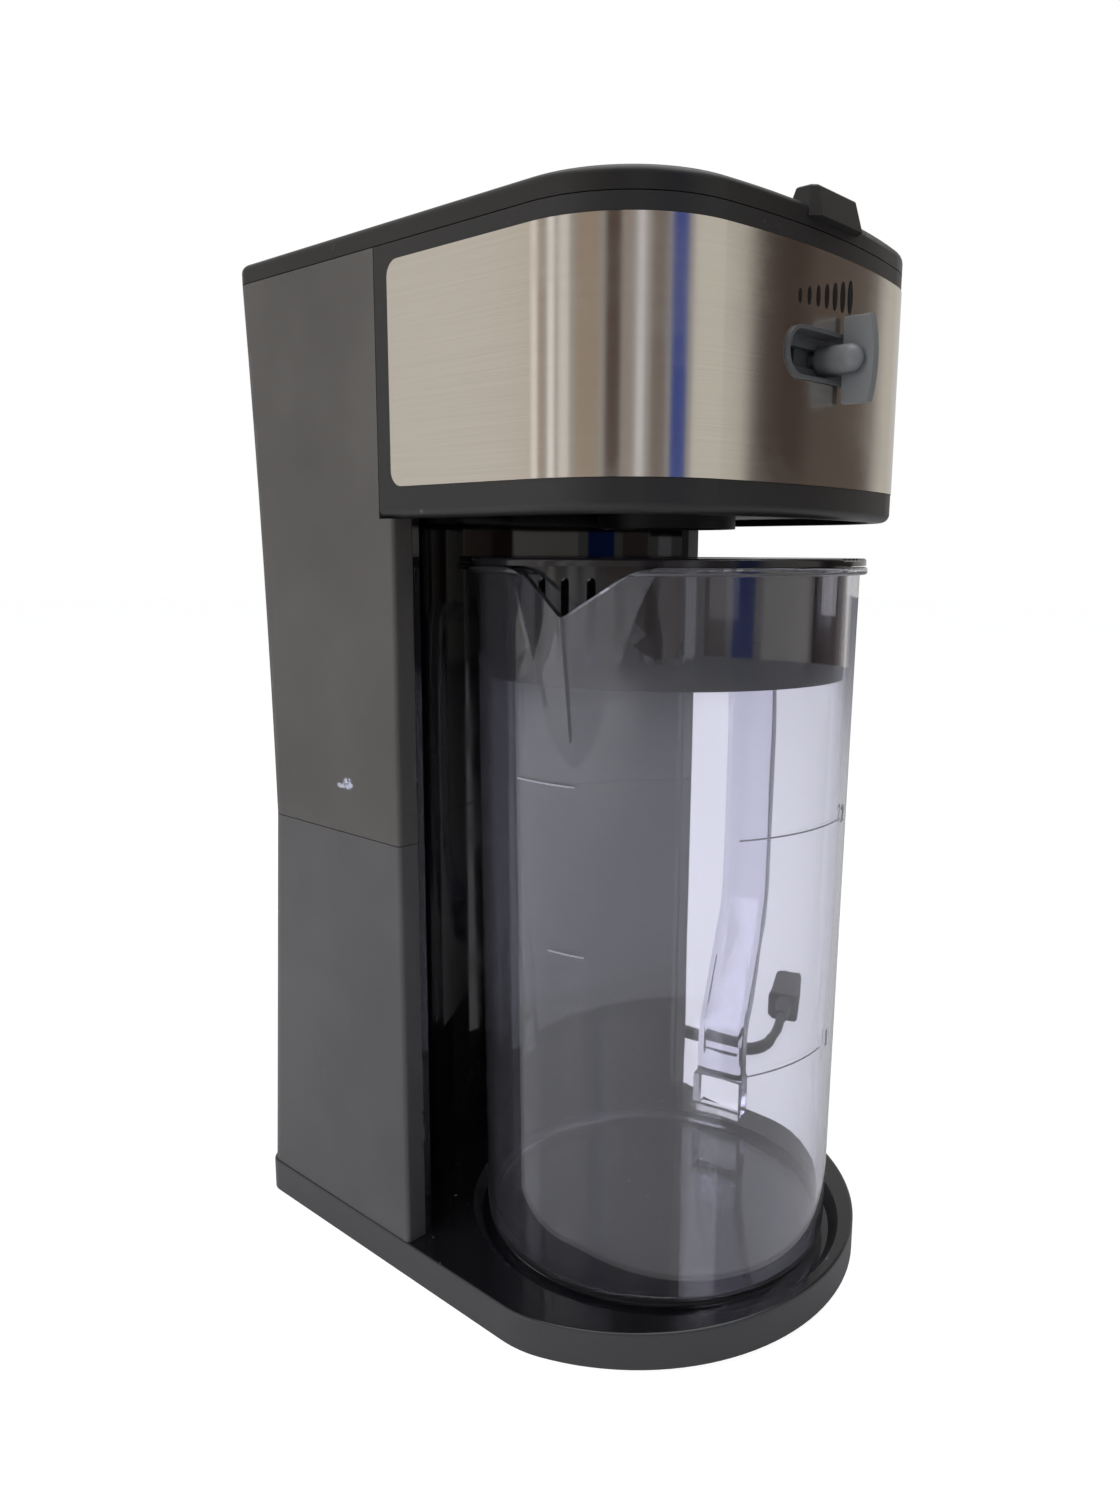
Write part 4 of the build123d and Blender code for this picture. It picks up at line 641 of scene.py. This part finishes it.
# %% Polished black pieces
def polished_plastic(name, colour, roughness, smudges):
    """Polished plastic: a faint haze of wiping and a slow ripple of the mould."""
    finish, tree, shader = start_finish(name, colour, roughness)
    smudge = place_group(tree, smudge_group, Amount=smudges)
    wipes = total(tree, smudge.outputs["Mask"], product(tree, smudge.outputs["Hairlines"], 0.6))
    tree.links.new(ranged(tree, wipes, 0.0, 1.4, roughness, roughness + 0.16), shader.inputs["Roughness"])
    slow = noise_in(tree, 10.0, 2.0)
    tint = mixed_colour(
        tree, slow.outputs["Fac"], tuple(c * 0.85 for c in colour), tuple(c * 1.2 for c in colour)
    )
    tree.links.new(tint, shader.inputs["Base Color"])
    ripple = noise_in(tree, 60.0, 1.0)
    add_bump(tree, shader, ripple.outputs["Fac"], 0.25, 0.00006)
    return finish


panel_gloss = polished_plastic("panel_gloss", (0.0045, 0.0045, 0.007), 0.05, 0.7)
dress(panel_gloss, "front_panel_lower", "front_panel_upper")
jug_lid_gloss = polished_plastic("jug_lid_gloss", (0.008, 0.008, 0.010), 0.12, 0.8)
dress(jug_lid_gloss, "jug_lid")

# %% [markdown]
# The base tray is one moulding with two finishes: a grained wall all round and a polished top with
# wipe marks. The mask between them is the direction that the face looks, read from its normal.

# %% Base tray
tray_wall_colour = (0.034, 0.034, 0.038)
tray_top_colour = (0.007, 0.007, 0.009)
tray_dust_colour = (0.4, 0.4, 0.42)
base_finish, tree, shader = start_finish("base_tray_plastic", (0.02, 0.02, 0.022), 0.3)
base_grain = place_group(tree, grain_group, Grain_Scale=1100.0)
base_smudge = place_group(tree, smudge_group, Amount=1.0)
base_dust = place_group(tree, dust_group, Amount=1.0)
base_coords = tree.nodes.new("ShaderNodeTexCoord")
base_split = tree.nodes.new("ShaderNodeSeparateXYZ")
tree.links.new(base_coords.outputs["Normal"], base_split.inputs[0])
top_mask = ranged(tree, base_split.outputs["Z"], 0.55, 0.9, 0.0, 1.0)
clean_colour = mixed_colour(tree, top_mask, tray_wall_colour, tray_top_colour)
dust_on_top = product(tree, base_dust.outputs["Mask"], top_mask)
base_colour = mixed_colour(tree, dust_on_top, clean_colour, tray_dust_colour)
tree.links.new(base_colour, shader.inputs["Base Color"])
wall_rough = ranged(tree, base_smudge.outputs["Mask"], 0.0, 1.0, 0.44, 0.36)
top_rough = ranged(tree, base_smudge.outputs["Mask"], 0.0, 1.0, 0.1, 0.24)
rough_mix = tree.nodes.new("ShaderNodeMix")
tree.links.new(top_mask, rough_mix.inputs["Factor"])
tree.links.new(wall_rough, rough_mix.inputs[2])
tree.links.new(top_rough, rough_mix.inputs[3])
tree.links.new(rough_mix.outputs[0], shader.inputs["Roughness"])
wall_only = ranged(tree, top_mask, 0.0, 1.0, 1.0, 0.1)
add_bump(tree, shader, product(tree, base_grain.outputs["Height"], wall_only), 0.5, 0.00005)
dress(base_finish, "base_tray")

# %% [markdown]
# The head wears a band of stainless steel, brushed from side to side. Each brush line runs along the
# band, so the light spreads across the lines and every reflection becomes an upright streak. Thin
# stretched noise gives the lines, and the shader's anisotropy, turned a quarter turn from the
# direction round the band, gives the spread.

# %% Brushed steel band
steel_finish, tree, shader = start_finish("brushed_steel", (0.64, 0.60, 0.55), 0.2, 1.0)
shader.inputs["Anisotropic"].default_value = 0.75
shader.inputs["Anisotropic Rotation"].default_value = 0.25
around = tree.nodes.new("ShaderNodeTangent")
around.direction_type = "RADIAL"
around.axis = "Z"
tree.links.new(around.outputs[0], shader.inputs["Tangent"])
brush = noise_in(tree, 1.0, 3.0, stretched_coords(tree, (14.0, 14.0, 5200.0)))
broad = noise_in(tree, 1.0, 2.0, stretched_coords(tree, (5.0, 5.0, 420.0)))
line_mask = ranged(tree, brush.outputs["Fac"], 0.3, 0.7, 0.0, 1.0)
broad_mask = ranged(tree, broad.outputs["Fac"], 0.3, 0.7, 0.0, 1.0)
steel_colour = mixed_colour(tree, line_mask, (0.625, 0.59, 0.54), (0.68, 0.645, 0.59))
steel_colour = mixed_colour(tree, product(tree, broad_mask, 0.1), steel_colour, (0.58, 0.55, 0.505))
tree.links.new(steel_colour, shader.inputs["Base Color"])
steel_smudge = place_group(tree, smudge_group, Amount=1.0)
line_rough = ranged(tree, line_mask, 0.0, 1.0, 0.185, 0.205)
tree.links.new(
    total(tree, line_rough, product(tree, steel_smudge.outputs["Mask"], 0.07)), shader.inputs["Roughness"]
)
add_bump(tree, shader, brush.outputs["Fac"], 0.06, 0.00002)
dress(steel_finish, "steel_band")

mark_finish = moulded_plastic(
    "mark_ink", (0.004, 0.004, 0.004), 0.6, grain_scale=2500.0, smudges=0.0, shine=0.2
)
dress(mark_finish, "strength_marks")

# %% [markdown]
# The strength lever and its bezel are satin grey plastic, a shade lighter than the shells.

# %% Strength control
lever_plastic = moulded_plastic(
    "lever_plastic", (0.17, 0.178, 0.186), 0.38, grain_scale=1300.0, smudges=0.6, shade_change=0.06
)
dress(lever_plastic, "strength_slider")
bezel_plastic = moulded_plastic(
    "bezel_plastic", (0.085, 0.089, 0.094), 0.34, grain_scale=1300.0, smudges=0.5
)
dress(bezel_plastic, "strength_bezel", "slider_shutter", "switch_rocker")

# %% [markdown]
# The jug is clear moulded plastic with a faint violet tint. Real light bends in its walls, so the
# shader transmits nearly all of it, at the plastic's index of refraction; the rest is the milky haze
# of many small scratches. Fine upright flow lines and wipe marks keep it from looking like air.

# %% Clear jug
def clear_plastic(name, colour, roughness, ior):
    """Clear plastic with wipe marks and upright flow lines."""
    finish, tree, shader = start_finish(name, colour, roughness)
    shader.inputs["Transmission Weight"].default_value = 0.985
    shader.inputs["IOR"].default_value = ior
    smudge = place_group(tree, smudge_group, Amount=1.0)
    tree.links.new(
        ranged(tree, smudge.outputs["Mask"], 0.0, 1.0, roughness, roughness + 0.03),
        shader.inputs["Roughness"],
    )
    slow = noise_in(tree, 9.0, 2.0)
    tint = mixed_colour(tree, slow.outputs["Fac"], tuple(c * 0.98 for c in colour), colour)
    tree.links.new(tint, shader.inputs["Base Color"])
    flow = noise_in(tree, 1.0, 2.0, stretched_coords(tree, (130.0, 130.0, 9.0)))
    add_bump(tree, shader, flow.outputs["Fac"], 0.2, 0.00008)
    return finish


jug_clear = clear_plastic("jug_clear", (0.83, 0.83, 0.90), 0.015, 1.57)
dress(jug_clear, "jug_body")
handle_clear = clear_plastic("handle_clear", (0.85, 0.84, 0.93), 0.02, 1.57)
dress(handle_clear, "jug_handle")

# %% [markdown]
# Thin raised level lines run part of the way round the jug, with a plain number at the end of each.
# A line is a circle of edges, cut to its arc, drawn up into a strip and given a thickness.

# %% Level lines and numbers
jug_centre = Vector((0.0, -0.0313, 0.0))
jug_low_z = 0.01155
jug_low_radius = 0.0644
jug_rim_z = 0.2578
jug_rim_radius = 0.0665
line_height = 0.0005
line_thickness = 0.00025
number_depth = 0.00012
number_proud = 0.0001
number_size = 0.0085

line_finish = moulded_plastic(
    "level_line", (0.26, 0.26, 0.30), 0.3, grain_scale=1500.0, smudges=0.2
)


def jug_radius(height):
    """The jug's outer radius at a height, because its wall leans a little outwards."""
    share = (height - jug_low_z) / (jug_rim_z - jug_low_z)
    return jug_low_radius + (jug_rim_radius - jug_low_radius) * share


def add_level_line(name, height, start_angle, end_angle):
    """A thin raised strip on the outside of the jug, between two compass angles."""
    radius = jug_radius(height)
    bpy.ops.object.select_all(action="DESELECT")
    bpy.ops.mesh.primitive_circle_add(
        vertices=360, radius=radius, fill_type="NOTHING",
        location=(jug_centre.x, jug_centre.y, height),
    )
    ring = bpy.context.object
    bpy.ops.object.transform_apply(location=True, rotation=True, scale=True)
    bpy.ops.object.mode_set(mode="EDIT")
    mesh = bmesh.from_edit_mesh(ring.data)
    for vert in mesh.verts:
        angle = degrees(atan2(vert.co.y - jug_centre.y, vert.co.x - jug_centre.x)) % 360.0
        vert.select = not (start_angle <= angle <= end_angle)
    mesh.select_flush_mode()
    bmesh.update_edit_mesh(ring.data)
    bpy.ops.mesh.delete(type="VERT")
    bpy.ops.mesh.select_all(action="SELECT")
    bpy.ops.mesh.extrude_region_move(TRANSFORM_OT_translate={"value": (0.0, 0.0, line_height)})
    bpy.ops.mesh.select_all(action="SELECT")
    bpy.ops.mesh.normals_make_consistent(inside=False)
    bpy.ops.object.mode_set(mode="OBJECT")
    wall = ring.modifiers.new("wall", "SOLIDIFY")
    wall.thickness = line_thickness
    wall.offset = 0.0
    bpy.ops.object.modifier_apply(modifier="wall")
    return scene_piece(name, "jug", line_finish)


def add_level_number(name, words, height, angle):
    """A plain number that stands on the jug's wall, facing outwards."""
    bpy.ops.object.select_all(action="DESELECT")
    bpy.ops.object.text_add(location=(0.0, 0.0, 0.0))
    text = bpy.context.object
    text.data.body = words
    text.data.size = number_size
    text.data.align_x = "CENTER"
    text.data.extrude = number_depth
    bpy.ops.object.convert(target="MESH")
    radius = jug_radius(height) + number_proud
    turn = radians(angle)
    outward = Vector((cos(turn), sin(turn), 0.0))
    across = Vector((-sin(turn), cos(turn), 0.0))
    axes = Matrix((across, Vector((0.0, 0.0, 1.0)), outward)).transposed().to_4x4()
    place = jug_centre + outward * radius + Vector((0.0, 0.0, height))
    text.matrix_world = Matrix.Translation(place) @ axes
    bpy.ops.object.transform_apply(location=True, rotation=True, scale=True)
    return scene_piece(name, "jug", line_finish)


add_level_line("level_line_high", 0.174, 238.0, 281.0)
add_level_line("level_line_low", 0.0945, 243.0, 277.0)
add_level_line("level_line_left", 0.1895, 171.0, 193.0)
add_level_line("level_line_left_low", 0.134, 184.0, 197.0)
add_level_number("level_number_high", "2", 0.1725, 286.0)
add_level_number("level_number_low", "1", 0.093, 282.0)

# %% [markdown]
# The pieces inside are real parts too, and they show when the lid is open: a milky tank, silicone
# hoses, a cast aluminium heater, a white riser and zinc-plated screws.

# %% Inner pieces
tank_plastic = moulded_plastic(
    "tank_plastic", (0.62, 0.64, 0.66), 0.35, grain_scale=700.0, smudges=0.4, shade_change=0.04
)
dress(tank_plastic, "water_tank")
hose_silicone = moulded_plastic(
    "hose_silicone", (0.72, 0.70, 0.66), 0.45, grain_scale=600.0, smudges=0.3, shade_change=0.06
)
dress(hose_silicone, "tank_seal", "cold_hose", "hot_hose", "check_valve")
riser_plastic = moulded_plastic(
    "riser_plastic", (0.70, 0.70, 0.68), 0.4, grain_scale=900.0, smudges=0.3, shade_change=0.05
)
dress(riser_plastic, "riser_pipe", "shower_nozzle", "cord_tie")
basket_plastic = moulded_plastic(
    "basket_plastic", (0.010, 0.010, 0.011), 0.45, smudges=0.5, shine=0.3
)
dress(basket_plastic, "brew_basket")
filter_plastic = moulded_plastic(
    "filter_plastic", (0.16, 0.12, 0.09), 0.5, grain_scale=1600.0, grain_depth=0.0001
)
dress(filter_plastic, "basket_filter")
block_plastic = moulded_plastic("block_plastic", (0.55, 0.54, 0.50), 0.45)
dress(block_plastic, "terminal_block")
wire_sheath = moulded_plastic("wire_sheath", (0.28, 0.05, 0.04), 0.4, grain_scale=500.0)
dress(wire_sheath, "inner_wiring")
lamp_plastic = moulded_plastic("lamp_plastic", (0.42, 0.03, 0.02), 0.12, grain_scale=400.0)
dress(lamp_plastic, "indicator_lamp")


def metal_finish(name, colour, roughness, grain_scale, depth):
    """Bare metal with a fine tooth and small changes of shade."""
    finish, tree, shader = start_finish(name, colour, roughness, 1.0)
    tooth = noise_in(tree, grain_scale, 3.0)
    shade = mixed_colour(
        tree, tooth.outputs["Fac"], tuple(c * 0.8 for c in colour), tuple(min(1.0, c * 1.1) for c in colour)
    )
    tree.links.new(shade, shader.inputs["Base Color"])
    tree.links.new(
        ranged(tree, tooth.outputs["Fac"], 0.3, 0.7, roughness * 0.8, roughness * 1.25),
        shader.inputs["Roughness"],
    )
    add_bump(tree, shader, tooth.outputs["Fac"], 0.3, depth)
    return finish


dress(
    metal_finish("plated_steel", (0.62, 0.61, 0.60), 0.25, 1500.0, 0.00003),
    "base_screws", "tower_screws", "deck_screws", "heater_screws", "lid_hinge_pins", "rocker_axle",
    "hose_clips", "plug_blades",
)
dress(
    metal_finish("cast_aluminium", (0.56, 0.56, 0.57), 0.45, 500.0, 0.00012),
    "heater_body", "heater_tube", "heater_bracket",
)
dress(
    metal_finish("oxidised_steel", (0.34, 0.31, 0.29), 0.4, 800.0, 0.00005),
    "heater_element", "thermostat", "thermal_fuse",
)

# %% [markdown]
# Rubber has a dull sheen and picks up dust. The feet, the plug and the lead share one recipe with
# different shades.

# %% Rubber pieces
foot_rubber = moulded_plastic("foot_rubber", (0.022, 0.022, 0.022), 0.7, grain_scale=500.0)
dress(foot_rubber, "rubber_feet")
plug_rubber = moulded_plastic(
    "plug_rubber", (0.030, 0.030, 0.032), 0.45, grain_scale=700.0, smudges=0.5, dust=0.6
)
dress(plug_rubber, "plug_body")
lead_sheath = moulded_plastic(
    "lead_sheath", (0.026, 0.026, 0.028), 0.4, grain_scale=700.0, smudges=0.4, dust=0.6
)
mains_lead.data.materials.append(lead_sheath)
print(lead_sheath.name, "on", mains_lead.name)
